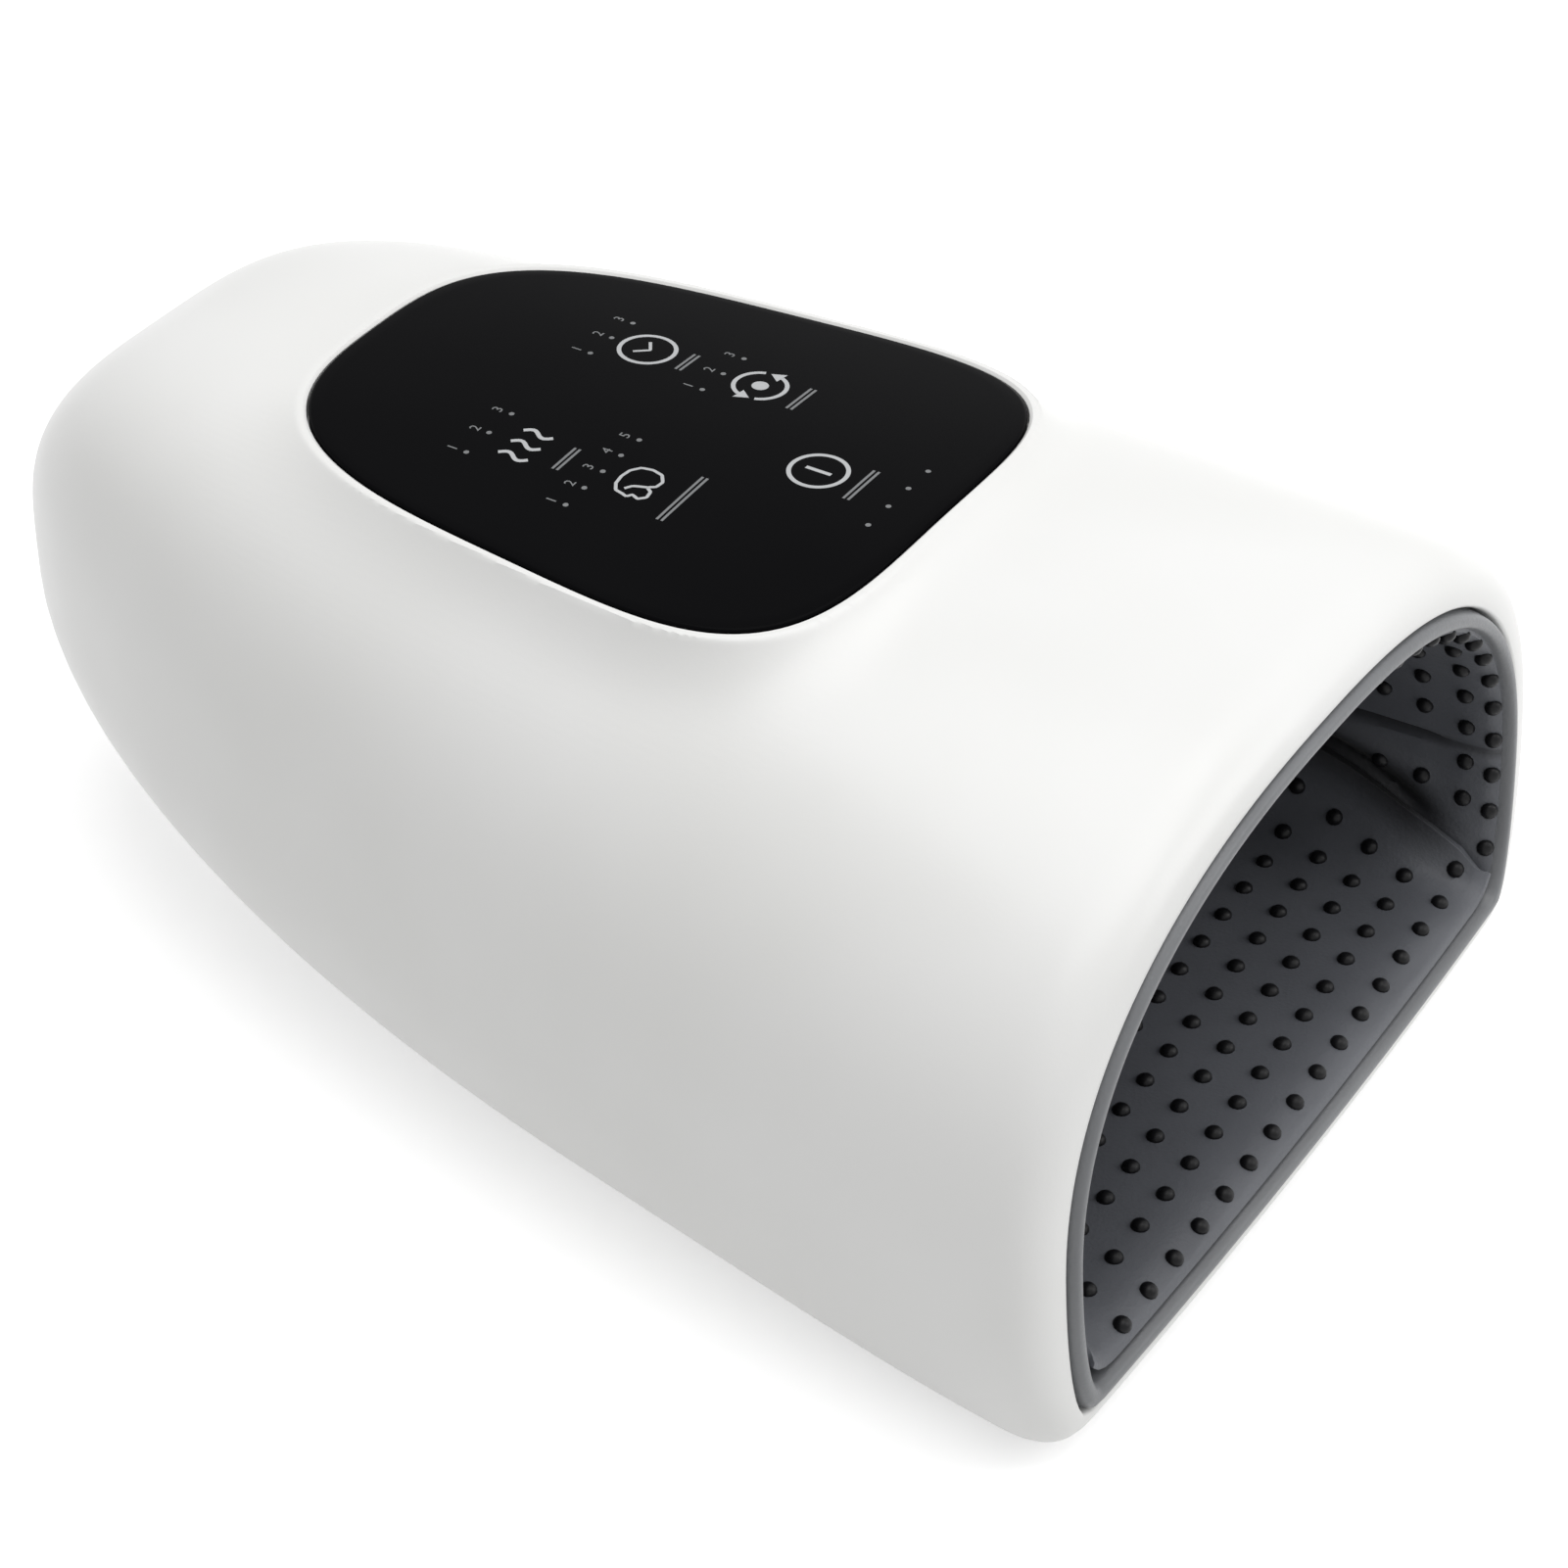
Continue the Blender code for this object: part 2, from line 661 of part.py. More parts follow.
def make_upper_shell(chassis, finish):
    """The white casing with its panel seat, panel window, underside opening, feet and inlet."""
    shell = add_object("upper_shell", shell_skin_mesh(), chassis, finish)
    lip_count = (LIP_STEPS + 1) * len(section_stations(ARCH_STEPS, CORNER_STEPS, FLOOR_STEPS))
    full_wall = shell.vertex_groups.new(name="full_wall")
    full_wall.add(range(lip_count, len(shell.data.vertices)), 1, "REPLACE")
    solid = shell.modifiers.new("wall", "SOLIDIFY")
    solid.vertex_group = full_wall.name
    solid.thickness_vertex_group = LIP_WALL_SHARE
    solid.thickness = SHELL_WALL
    solid.offset = -1
    solid.use_even_offset = True
    boolean(shell, add_cutter("panel_seat_body", panel_seat_mesh(), chassis), "UNION")
    recess = rings_mesh("recess", [panel_ring(GAP, PANEL_SEAT_DROP), panel_ring(GAP, -OVERRUN)])
    boolean(shell, add_cutter("panel_recess_cut", recess, chassis), "DIFFERENCE")
    low_ring = panel_ring(-LEDGE_WIDTH, 4 * OVERRUN)
    window = rings_mesh("window", [low_ring, panel_ring(-LEDGE_WIDTH, -OVERRUN)])
    boolean(shell, add_cutter("panel_window_cut", window, chassis), "DIFFERENCE")
    seat = rings_mesh(
        "seat", [flat_ring(cover_outline(GAP), -OVERRUN), flat_ring(cover_outline(GAP), COVER_RECESS)]
    )
    boolean(shell, add_cutter("cover_seat_cut", seat, chassis), "DIFFERENCE")
    opening = cover_outline(-COVER_LEDGE)
    hole = rings_mesh("hole", [flat_ring(opening, -OVERRUN), flat_ring(opening, OVERRUN)])
    boolean(shell, add_cutter("cover_hole_cut", hole, chassis), "DIFFERENCE")
    for index, (x, y) in enumerate(foot_places()):
        profile = [(-OVERRUN, FOOT_RADIUS + GAP), (FOOT_RECESS, FOOT_RADIUS + GAP)]
        cut = turned_mesh("foot_seat", profile, (x, y, 0))
        boolean(shell, add_cutter(f"foot_seat_cut_{index + 1}", cut, chassis), "DIFFERENCE")
    for cutter in socket_cutters(chassis):
        boolean(shell, cutter, "DIFFERENCE")


def make_touch_panel(chassis, finish):
    """The black lens, domed across, with softened edges."""
    soft = PANEL_EDGE * PANEL_SOFT_SHARE
    rings = [panel_ring(0, 0, share) for share in PANEL_FACE_SHARES]
    rings += [
        panel_ring(-2 * PANEL_EDGE, 0),
        panel_ring(-soft, soft),
        panel_ring(0, PANEL_EDGE),
        panel_ring(0, PANEL_THICK),
        panel_ring(-LEDGE_WIDTH, PANEL_THICK),
        panel_ring(0, PANEL_THICK, PANEL_CORE_SHARE),
    ]
    add_object("touch_panel", rings_mesh("touch_panel", rings), chassis, finish)


def frame_ring_mesh(name, outer, inner):
    """A closed frame from matching outer and inner pairs of rings (low, high)."""
    bm = bmesh.new()
    loops = [outer[0], outer[1], inner[1], inner[0]]
    made = [[bm.verts.new(point) for point in loop] for loop in loops]
    for a, b in zip(made, made[1:] + made[:1]):
        for i in range(len(a)):
            j = (i + 1) % len(a)
            bm.faces.new((a[i], a[j], b[j], b[i]))
    return mesh_from_bm(name, bm)


def make_panel_gasket(chassis, finish):
    """The adhesive frame between the panel and its ledge."""
    top = PANEL_THICK + GAP
    outer = [panel_ring(-GAP, top + GASKET_THICK), panel_ring(-GAP, top)]
    inner = [panel_ring(-GASKET_WIDTH, top + GASKET_THICK), panel_ring(-GASKET_WIDTH, top)]
    add_object("panel_gasket", frame_ring_mesh("panel_gasket", outer, inner), chassis, finish)


def make_light_guide(chassis, finish):
    """The diffuser block that fills the window under the panel."""
    inset = -LEDGE_WIDTH - GUIDE_INSET
    level = LEDGE_UNDERSIDE
    rings = [
        flat_ring(panel_outline(inset), level),
        panel_ring(inset, PANEL_THICK + GAP),
        panel_ring(inset, PANEL_THICK + GAP, PANEL_CORE_SHARE),
    ]
    add_object("light_guide", rings_mesh("light_guide", rings), chassis, finish)


def make_touch_board(chassis, finish):
    """The touch sensor board, with tabs under the ledge's front and back."""
    top = LEDGE_UNDERSIDE - GAP
    low = top - TOUCH_BOARD_THICK
    outline = panel_outline(-LEDGE_WIDTH - GUIDE_INSET)
    board = add_object(
        "touch_board",
        rings_mesh("touch_board", [flat_ring(outline, low), flat_ring(outline, top)]),
        chassis,
        finish,
    )
    tab = box_mesh(
        "tab",
        (-TOUCH_BOARD_TAB_HALF, PANEL_FRONT + LEDGE_WIDTH - TOUCH_BOARD_TAB, low),
        (TOUCH_BOARD_TAB_HALF, PANEL_BACK - LEDGE_WIDTH + TOUCH_BOARD_TAB, top),
    )
    boolean(board, add_cutter("touch_board_tabs", tab, chassis), "UNION")
    plug = box_mesh(
        "plug",
        (-TOUCH_BOARD_TAB_HALF / 2, PANEL_FRONT + 2 * OVERRUN, low - TOUCH_BOARD_TAB),
        (TOUCH_BOARD_TAB_HALF / 2, PANEL_FRONT + 3 * OVERRUN, low + TOUCH_BOARD_THICK / 2),
    )
    boolean(board, add_cutter("touch_board_plug", plug, chassis), "UNION")


def tunnel_half(y, inset, end_inset):
    """Half the tunnel's width at a length."""
    share = min(max(y / (TUNNEL_END - end_inset), 0), 1)
    round_off = max(1 - share ** TUNNEL_PLAN_POWER, 0) ** (1 / TUNNEL_PLAN_END_POWER)
    return (MOUTH_WIDTH / 2 - inset) * round_off


def tunnel_roof(y, end_inset):
    """The height of the tunnel's roof: down from the mouth, level, then down to the fingertips."""
    entry = smooth_step((y - TUNNEL_START) / (TUNNEL_ROOF_START - TUNNEL_START))
    level = MOUTH_TOP + (TUNNEL_ROOF - MOUTH_TOP) * entry
    run = TUNNEL_END - end_inset - TUNNEL_FALL_START
    fall = min(max((y - TUNNEL_FALL_START) / run, 0), 1)
    arc = max(1 - fall ** TUNNEL_FALL_POWER, 0) ** (1 / TUNNEL_FALL_END_POWER)
    return TUNNEL_TIP_TOP + (level - TUNNEL_TIP_TOP) * arc


def tunnel_waist(y):
    """The height of the tunnel's widest level."""
    return MOUTH_WAIST + (TUNNEL_TIP_WAIST - MOUTH_WAIST) * smooth_step(y / TUNNEL_END)


def tunnel_rise(y):
    """How far the tunnel's floor has climbed towards the fingertips at a length."""
    return FINGER_RISE * smooth_step((y - FINGER_RISE_START) / (TUNNEL_END - FINGER_RISE_START))


def tunnel_point(station, y, inset, low):
    """A point of the tunnel's outline at a length, drawn in by an inset all round."""
    half = tunnel_half(y, inset, inset)
    tuck = TUNNEL_TUCK * half / (MOUTH_WIDTH / 2)
    top = tunnel_roof(y, inset) - inset
    x, z, _ = section_point(station, half, low + tunnel_rise(y), tunnel_waist(y), top, MOUTH_POWER, tuck)
    return x, y + mouth_shift(x, z, y / SHELL_LENGTH), z


def tunnel_side(y, z, inset, low):
    """Half the width between the tunnel's tucked-in sides at a level under its waist."""
    half = tunnel_half(y, inset, inset)
    tuck = TUNNEL_TUCK * half / (MOUTH_WIDTH / 2)
    rise = 1 - z / (tunnel_waist(y) - low - tunnel_rise(y))
    return half - tuck * (1 - math.sqrt(1 - rise * rise))


def tunnel_places(start, end, count):
    """Lengths along the tunnel, closer together towards its rounded end."""
    places = []
    for i in range(count + 1):
        share = math.sin(math.pi / 2 * i / count) ** (2 / TUNNEL_PLAN_POWER)
        places.append(start + (end - start) * min(share, 1))
    return places


def tunnel_rows(stations, start, inset, low):
    """Rows of points over the tunnel at one inset."""
    places = tunnel_places(start, TUNNEL_END - inset, TUNNEL_STATIONS)
    return [[tunnel_point(station, y, inset, low) for station in stations] for y in places]


def closed_rows_mesh(name, outer_rows, inner_rows):
    """A bag with a wall: two skins of closed rows, joined round their first rows."""
    bm = bmesh.new()
    outer = skin_rows(bm, outer_rows, True)
    inner = skin_rows(bm, inner_rows, True)
    count = len(outer[0])
    for i in range(count):
        j = (i + 1) % count
        bm.faces.new((outer[0][i], outer[0][j], inner[0][j], inner[0][i]))
    return mesh_from_bm(name, bm)


def cover_screw_places():
    """Six screws in from the cover's edge, three on each side."""
    places = []
    for y_share in COVER_SCREW_SHARES:
        y = COVER_FRONT + (COVER_BACK - COVER_FRONT) * y_share
        half = COVER_FRONT_HALF + (COVER_BACK_HALF - COVER_FRONT_HALF) * y_share - COVER_SCREW_INSET
        places += [(-half, y), (half, y)]
    return places


def board_screw_places():
    """Four screws near the main board's corners."""
    across = BOARD_WIDTH / 2 - BOARD_SCREW_INSET
    along = BOARD_DEPTH / 2 - BOARD_SCREW_INSET
    return [(sx * across, BOARD_Y + sy * along) for sy in (-1, 1) for sx in (-1, 1)]


def foot_places():
    """Two feet near the mouth and two towards the toe."""
    return [
        (-FRONT_FOOT_X, FRONT_FOOT_Y),
        (FRONT_FOOT_X, FRONT_FOOT_Y),
        (-REAR_FOOT_X, REAR_FOOT_Y),
        (REAR_FOOT_X, REAR_FOOT_Y),
    ]


def make_tunnel_frame(chassis, finish):
    """The rigid inner frame round the hand tunnel, with its board posts and cover bosses."""
    stations = section_stations(TUNNEL_ARCH_STEPS, TUNNEL_CORNER_STEPS, FLOOR_STEPS)
    outer = tunnel_rows(stations, TUNNEL_START, GAP, FRAME_FLOOR)
    inner = tunnel_rows(stations, TUNNEL_START, GAP + FRAME_WALL, FRAME_FLOOR + FRAME_WALL)
    frame = add_object("tunnel_frame", closed_rows_mesh("tunnel_frame", outer, inner), chassis, finish)
    post_top = BOARD_LEVEL - GAP
    pilot = SCREW_SHANK_RADIUS + GAP
    for index, (x, y) in enumerate(board_screw_places()):
        foot = tunnel_level_over(x, y) - FRAME_WALL / 2
        profile = [(foot, BOARD_POST_RADIUS), (post_top, BOARD_POST_RADIUS)]
        post = turned_mesh("post", profile, (x, y, 0), points=SMALL_CIRCLE_STEPS)
        boolean(frame, add_cutter(f"board_post_{index + 1}", post, chassis), "UNION")
        profile = [(post_top - BOARD_SCREW_REACH - GAP, pilot), (post_top + OVERRUN, pilot)]
        hole = turned_mesh("pilot", profile, (x, y, 0), points=SMALL_CIRCLE_STEPS)
        boolean(frame, add_cutter(f"board_pilot_{index + 1}", hole, chassis), "DIFFERENCE")
    boss_low = COVER_FLANGE + COVER_PLUG + GAP
    for index, (x, y) in enumerate(cover_screw_places()):
        profile = [(boss_low, SCREW_BOSS_RADIUS), (FRAME_FLOOR + FRAME_WALL / 2, SCREW_BOSS_RADIUS)]
        boss = turned_mesh("boss", profile, (x, y, 0), points=SMALL_CIRCLE_STEPS)
        boolean(frame, add_cutter(f"cover_boss_{index + 1}", boss, chassis), "UNION")
        profile = [(-OVERRUN, pilot), (boss_low + SCREW_LEAD + GAP, pilot)]
        hole = turned_mesh("pilot", profile, (x, y, 0), points=SMALL_CIRCLE_STEPS)
        boolean(frame, add_cutter(f"cover_pilot_{index + 1}", hole, chassis), "DIFFERENCE")


def tunnel_level_over(x, y, inset=GAP):
    """The height of the tunnel's outline over a point of the plan."""
    half = tunnel_half(y, inset, inset)
    across = max(1 - abs(x / half) ** MOUTH_POWER, 0) ** (1 / MOUTH_POWER)
    top = tunnel_roof(y, inset) - inset
    return tunnel_waist(y) + (top - tunnel_waist(y)) * across


def make_liner_wall(chassis, finish):
    """The padded lining of the sides, the roof and the finger end, with a hole for the roof bag."""
    stations = open_stations(TUNNEL_ARCH_STEPS, TUNNEL_CORNER_STEPS)
    near = FRAME_WALL + 2 * GAP
    outer = tunnel_rows(stations, TUNNEL_START, near, FLOOR_BAG_LEVEL)
    inner = tunnel_rows(stations, TUNNEL_START, near + LINER_THICK, FLOOR_BAG_LEVEL)
    lining = add_object("liner_wall", sheet_mesh("liner_wall", outer, inner, True), chassis, finish)
    above = roof_rows(0, ROOF_HOLE_INSET)
    below = roof_rows(near + LINER_THICK + OVERRUN, ROOF_HOLE_INSET)
    hole = sheet_mesh("roof_hole", above, below)
    boolean(lining, add_cutter("roof_hole_cut", hole, chassis), "DIFFERENCE")


def make_liner_welt(chassis, finish):
    """The padded band round the mouth, just behind the casing's lip."""
    stations = section_stations(TUNNEL_ARCH_STEPS, TUNNEL_CORNER_STEPS, FLOOR_STEPS)
    rings = []
    for turn in range(WELT_STEPS + 1):
        angle = math.pi * (1 - turn / WELT_STEPS)
        across = (1 - math.cos(angle)) / 2
        depth = WELT_START + WELT_DEPTH * (1 - math.sin(angle))
        inset = GAP + (WELT_WIDTH - GAP) * across
        sill = GAP + (WELT_SILL_WIDTH - GAP) * across
        ring = []
        for station in stations:
            x, z = mouth_point(station, inset, sill)
            ring.append((x, depth + mouth_shift(x, z, depth / SHELL_LENGTH), z))
        rings.append(ring)
    bm = bmesh.new()
    made = skin_rows(bm, rings, True)
    count = len(made[0])
    for i in range(count):
        j = (i + 1) % count
        bm.faces.new((made[-1][i], made[-1][j], made[0][j], made[0][i]))
    add_object("liner_welt", mesh_from_bm("liner_welt", bm), chassis, finish)


def floor_rows(level, above, start, extra):
    """Rows of points at a level of the floor, between the lining's sides; above is its clearance."""
    inset = FRAME_WALL + 2 * GAP + LINER_THICK
    end = TUNNEL_END - inset - FLOOR_END_ROOM - extra
    rows = []
    for i in range(FLOOR_STATIONS + 1):
        y = start + (end - start) * math.sin(math.pi / 2 * i / FLOOR_STATIONS)
        side = tunnel_side(y, above, inset, FLOOR_BAG_LEVEL) - FLOOR_SIDE_GAP - extra
        z = level + tunnel_rise(y)
        row = []
        for k in range(FLOOR_CROSS_STEPS + 1):
            x = side * (2 * k / FLOOR_CROSS_STEPS - 1)
            row.append((x, y + mouth_shift(x, level, y / SHELL_LENGTH), z))
        rows.append(row)
    return rows


def make_floor_stack(chassis, finishes):
    """The lower bladder, the heating film and the nubbed floor pad."""
    bag_start = TUNNEL_START + FLOOR_INSET
    layers = (
        ("floor_airbag", FLOOR_BAG_LEVEL, FLOOR_BAG_THICK, bag_start, FLOOR_INSET, finishes["bladder"]),
        ("heating_film", FILM_LEVEL, FILM_THICK, bag_start, FLOOR_INSET, finishes["film"]),
        ("liner_floor", FLOOR_PAD_LEVEL, FLOOR_PAD_THICK, FLOOR_PAD_START, 0, finishes["lining"]),
    )
    for name, level, thick, start, extra, finish in layers:
        above = level - FLOOR_BAG_LEVEL
        top = floor_rows(level + thick, above, start, extra)
        bottom = floor_rows(level, above, start, extra)
        add_object(name, sheet_mesh(name, top, bottom), chassis, finish)


def roof_rows(inset, side_inset):
    """Rows of points under the tunnel's roof at one inset from its outline."""
    rows = []
    for i in range(ROOF_STATIONS + 1):
        share = i / ROOF_STATIONS
        y = ROOF_FRONT + side_inset + (ROOF_BACK - ROOF_FRONT - 2 * side_inset) * share
        spread = ROOF_HALF_ANGLE * (1 - side_inset / (MOUTH_WIDTH / 2))
        angles = [math.pi / 2 + spread * (2 * k / ROOF_ARCH_STEPS - 1) for k in range(ROOF_ARCH_STEPS + 1)]
        rows.append([tunnel_point(("arch", angle), y, inset, 0) for angle in angles])
    return rows


def make_roof_stack(chassis, finishes):
    """The upper bladder in the lining's roof, and the nubbed pad that it presses down."""
    bag_top = FRAME_WALL + 3 * GAP
    bag_low = bag_top + ROOF_BAG_THICK
    pad_top = bag_low + GAP
    pad_low = pad_top + ROOF_PAD_THICK
    above = roof_rows(bag_top, ROOF_BAG_INSET)
    bag = sheet_mesh("roof_airbag", above, roof_rows(bag_low, ROOF_BAG_INSET))
    add_object("roof_airbag", bag, chassis, finishes["bladder"])
    mesh = sheet_mesh("roof_pad", roof_rows(pad_top, 0), roof_rows(pad_low, 0))
    pad = add_object("roof_pad", mesh, chassis, finishes["lining"])
    bevel(pad, ROOF_EDGE, 1, 60 * DEG)


def make_base_cover(chassis, finish):
    """The underside cover: a flange in the casing's seat and a plug through its opening."""
    rings = [
        flat_ring(cover_outline(), 0),
        flat_ring(cover_outline(), COVER_FLANGE),
        flat_ring(cover_outline(-COVER_LEDGE - GAP), COVER_FLANGE),
        flat_ring(cover_outline(-COVER_LEDGE - GAP), COVER_FLANGE + COVER_PLUG),
    ]
    cover = add_object("base_cover", rings_mesh("base_cover", rings), chassis, finish)
    for index, (x, y) in enumerate(cover_screw_places()):
        wide = SCREW_HEAD_RADIUS + GAP
        narrow = SCREW_SHANK_RADIUS + GAP
        seat = SCREW_SEAT + SCREW_HEAD_THICK - GAP
        profile = [(-OVERRUN, wide), (seat, wide), (seat, narrow), (OVERRUN, narrow)]
        cut = turned_mesh("screw_seat", profile, (x, y, 0), points=SMALL_CIRCLE_STEPS)
        boolean(cover, add_cutter(f"cover_screw_cut_{index + 1}", cut, chassis), "DIFFERENCE")


def make_screw(name, place, seat, lead, chassis, finish, upward):
    """A screw with a round head and a driver recess; its head bears on the seat level."""
    way = 1 if upward else -1
    head = SCREW_HEAD_THICK
    profile = [
        (-head + SCREW_DRIVE_DEPTH, SCREW_DRIVE_RADIUS),
        (-head, SCREW_DRIVE_RADIUS),
        (-head, SCREW_HEAD_RADIUS),
        (0, SCREW_HEAD_RADIUS),
        (0, SCREW_SHANK_RADIUS),
        (lead, SCREW_SHANK_RADIUS),
    ]
    turned = [(way * along, radius) for along, radius in profile]
    mesh = turned_mesh(name, turned, (*place, seat), points=SMALL_CIRCLE_STEPS)
    add_object(name, mesh, chassis, finish)


def make_feet_and_screws(chassis, finishes):
    """Four rubber feet, six cover screws and four board screws."""
    for index, (x, y) in enumerate(foot_places()):
        profile = [(-FOOT_STAND, FOOT_RADIUS), (FOOT_RECESS - GAP, FOOT_RADIUS)]
        mesh = turned_mesh("foot", profile, (x, y, 0))
        foot = add_object(f"foot_{index + 1}", mesh, chassis, finishes["rubber"])
        bevel(foot, FOOT_EDGE, 1)
    for index, place in enumerate(cover_screw_places()):
        lead = COVER_FLANGE + COVER_PLUG - SCREW_SEAT - SCREW_HEAD_THICK + 2 * GAP + SCREW_LEAD
        seat = SCREW_SEAT + SCREW_HEAD_THICK - 2 * GAP
        make_screw(f"base_screw_{index + 1}", place, seat, lead, chassis, finishes["steel"], True)
    for index, place in enumerate(board_screw_places()):
        seat = BOARD_LEVEL + BOARD_THICK + GAP
        lead = BOARD_SCREW_REACH + BOARD_THICK
        make_screw(f"board_screw_{index + 1}", place, seat, lead, chassis, finishes["steel"], False)


def make_main_board(chassis, finish):
    """The control board, with its chip, capacitors and plug sockets standing on it."""
    low = (-BOARD_WIDTH / 2, BOARD_Y - BOARD_DEPTH / 2, BOARD_LEVEL)
    high = (BOARD_WIDTH / 2, BOARD_Y + BOARD_DEPTH / 2, BOARD_LEVEL + BOARD_THICK)
    board = add_object("main_board", box_mesh("main_board", low, high), chassis, finish)
    root = BOARD_LEVEL + BOARD_THICK / 2
    part_shares = (
        (-0.02, -0.02, 0.18, 0.26, 1.2),
        (0.26, -0.22, 0.14, 0.16, 3.6),
        (-0.28, 0.2, 0.16, 0.2, 3.2),
        (0.24, 0.24, 0.2, 0.14, 2.4),
    )
    for index, (x_share, y_share, width_share, depth_share, height_share) in enumerate(part_shares):
        x = x_share * BOARD_WIDTH
        y = BOARD_Y + y_share * BOARD_DEPTH
        half_x = width_share * BOARD_WIDTH / 2
        half_y = depth_share * BOARD_DEPTH / 2
        top = BOARD_LEVEL + BOARD_THICK * (1 + height_share)
        chip = box_mesh("chip", (x - half_x, y - half_y, root), (x + half_x, y + half_y, top))
        boolean(board, add_cutter(f"board_part_{index + 1}", chip, chassis), "UNION")
    for index, (x, y) in enumerate(board_screw_places()):
        radius = SCREW_SHANK_RADIUS + GAP
        profile = [(root - OVERRUN, radius), (root + OVERRUN, radius)]
        cut = turned_mesh("hole", profile, (x, y, 0), points=SMALL_CIRCLE_STEPS)
        boolean(board, add_cutter(f"board_hole_{index + 1}", cut, chassis), "DIFFERENCE")


def cell_profile(extra):
    """The profile of a round cell with its raised terminal, grown by an extra clearance."""
    half = CELL_LENGTH / 2
    if extra:
        return [(-half - extra, CELL_RADIUS + extra), (half + extra, CELL_RADIUS + extra)]
    return [
        (-half, CELL_RADIUS),
        (half - CELL_TERMINAL, CELL_RADIUS),
        (half - CELL_TERMINAL, CELL_TERMINAL_RADIUS),
        (half, CELL_TERMINAL_RADIUS),
    ]


def make_battery(chassis, finishes):
    """Two round cells across the casing, and the ribbed tray that they lie in."""
    cells = (("front", FRONT_CELL_Y, FRONT_CELL_Z), ("rear", REAR_CELL_Y, REAR_CELL_Z))
    low = (-TRAY_HALF, TRAY_FRONT, TRAY_FLOOR)
    block = box_mesh("battery_tray", low, (TRAY_HALF, TRAY_BACK, TRAY_TOP))
    tray = add_object("battery_tray", block, chassis, finishes["inner"])
    pitch = (2 * TRAY_HALF - TRAY_RIB) / TRAY_BAYS
    spine = REAR_CELL_Y - CELL_RADIUS
    for bay in range(TRAY_BAYS):
        left = -TRAY_HALF + TRAY_RIB + pitch * bay
        right = left + pitch - TRAY_RIB
        spans = ((TRAY_FRONT - OVERRUN, spine - TRAY_RIB), (spine + TRAY_RIB, TRAY_BACK + OVERRUN))
        for row, (front, back) in enumerate(spans):
            low = (left, front, TRAY_FLOOR - OVERRUN)
            bay_mesh = box_mesh("bay", low, (right, back, TRAY_TOP + OVERRUN))
            boolean(tray, add_cutter(f"tray_bay_{bay}_{row}", bay_mesh, chassis), "DIFFERENCE")
    step_low = (-TRAY_HALF - OVERRUN, REAR_CELL_Y - CELL_RADIUS / 2, REAR_CELL_Z)
    step_mesh = box_mesh("step", step_low, (TRAY_HALF + OVERRUN, TRAY_BACK + OVERRUN, TRAY_TOP + OVERRUN))
    boolean(tray, add_cutter("tray_step_cut", step_mesh, chassis), "DIFFERENCE")
    stations = section_stations(TUNNEL_ARCH_STEPS, TUNNEL_CORNER_STEPS, FLOOR_STEPS)
    rows = tunnel_rows(stations, TUNNEL_START, 0, FRAME_FLOOR)
    bm = bmesh.new()
    made = skin_rows(bm, rows, True)
    bm.faces.new(made[0])
    boolean(tray, add_cutter("tray_tunnel_cut", mesh_from_bm("tunnel_body", bm), chassis), "DIFFERENCE")
    for name, y, z in cells:
        cut = turned_mesh("cell_cut", cell_profile(GAP), (0, y, z), "X")
        boolean(tray, add_cutter(f"tray_cut_{name}", cut, chassis), "DIFFERENCE")
        mesh = turned_mesh(f"battery_cell_{name}", cell_profile(0), (0, y, z), "X")
        add_object(f"battery_cell_{name}", mesh, chassis, finishes["cell"])


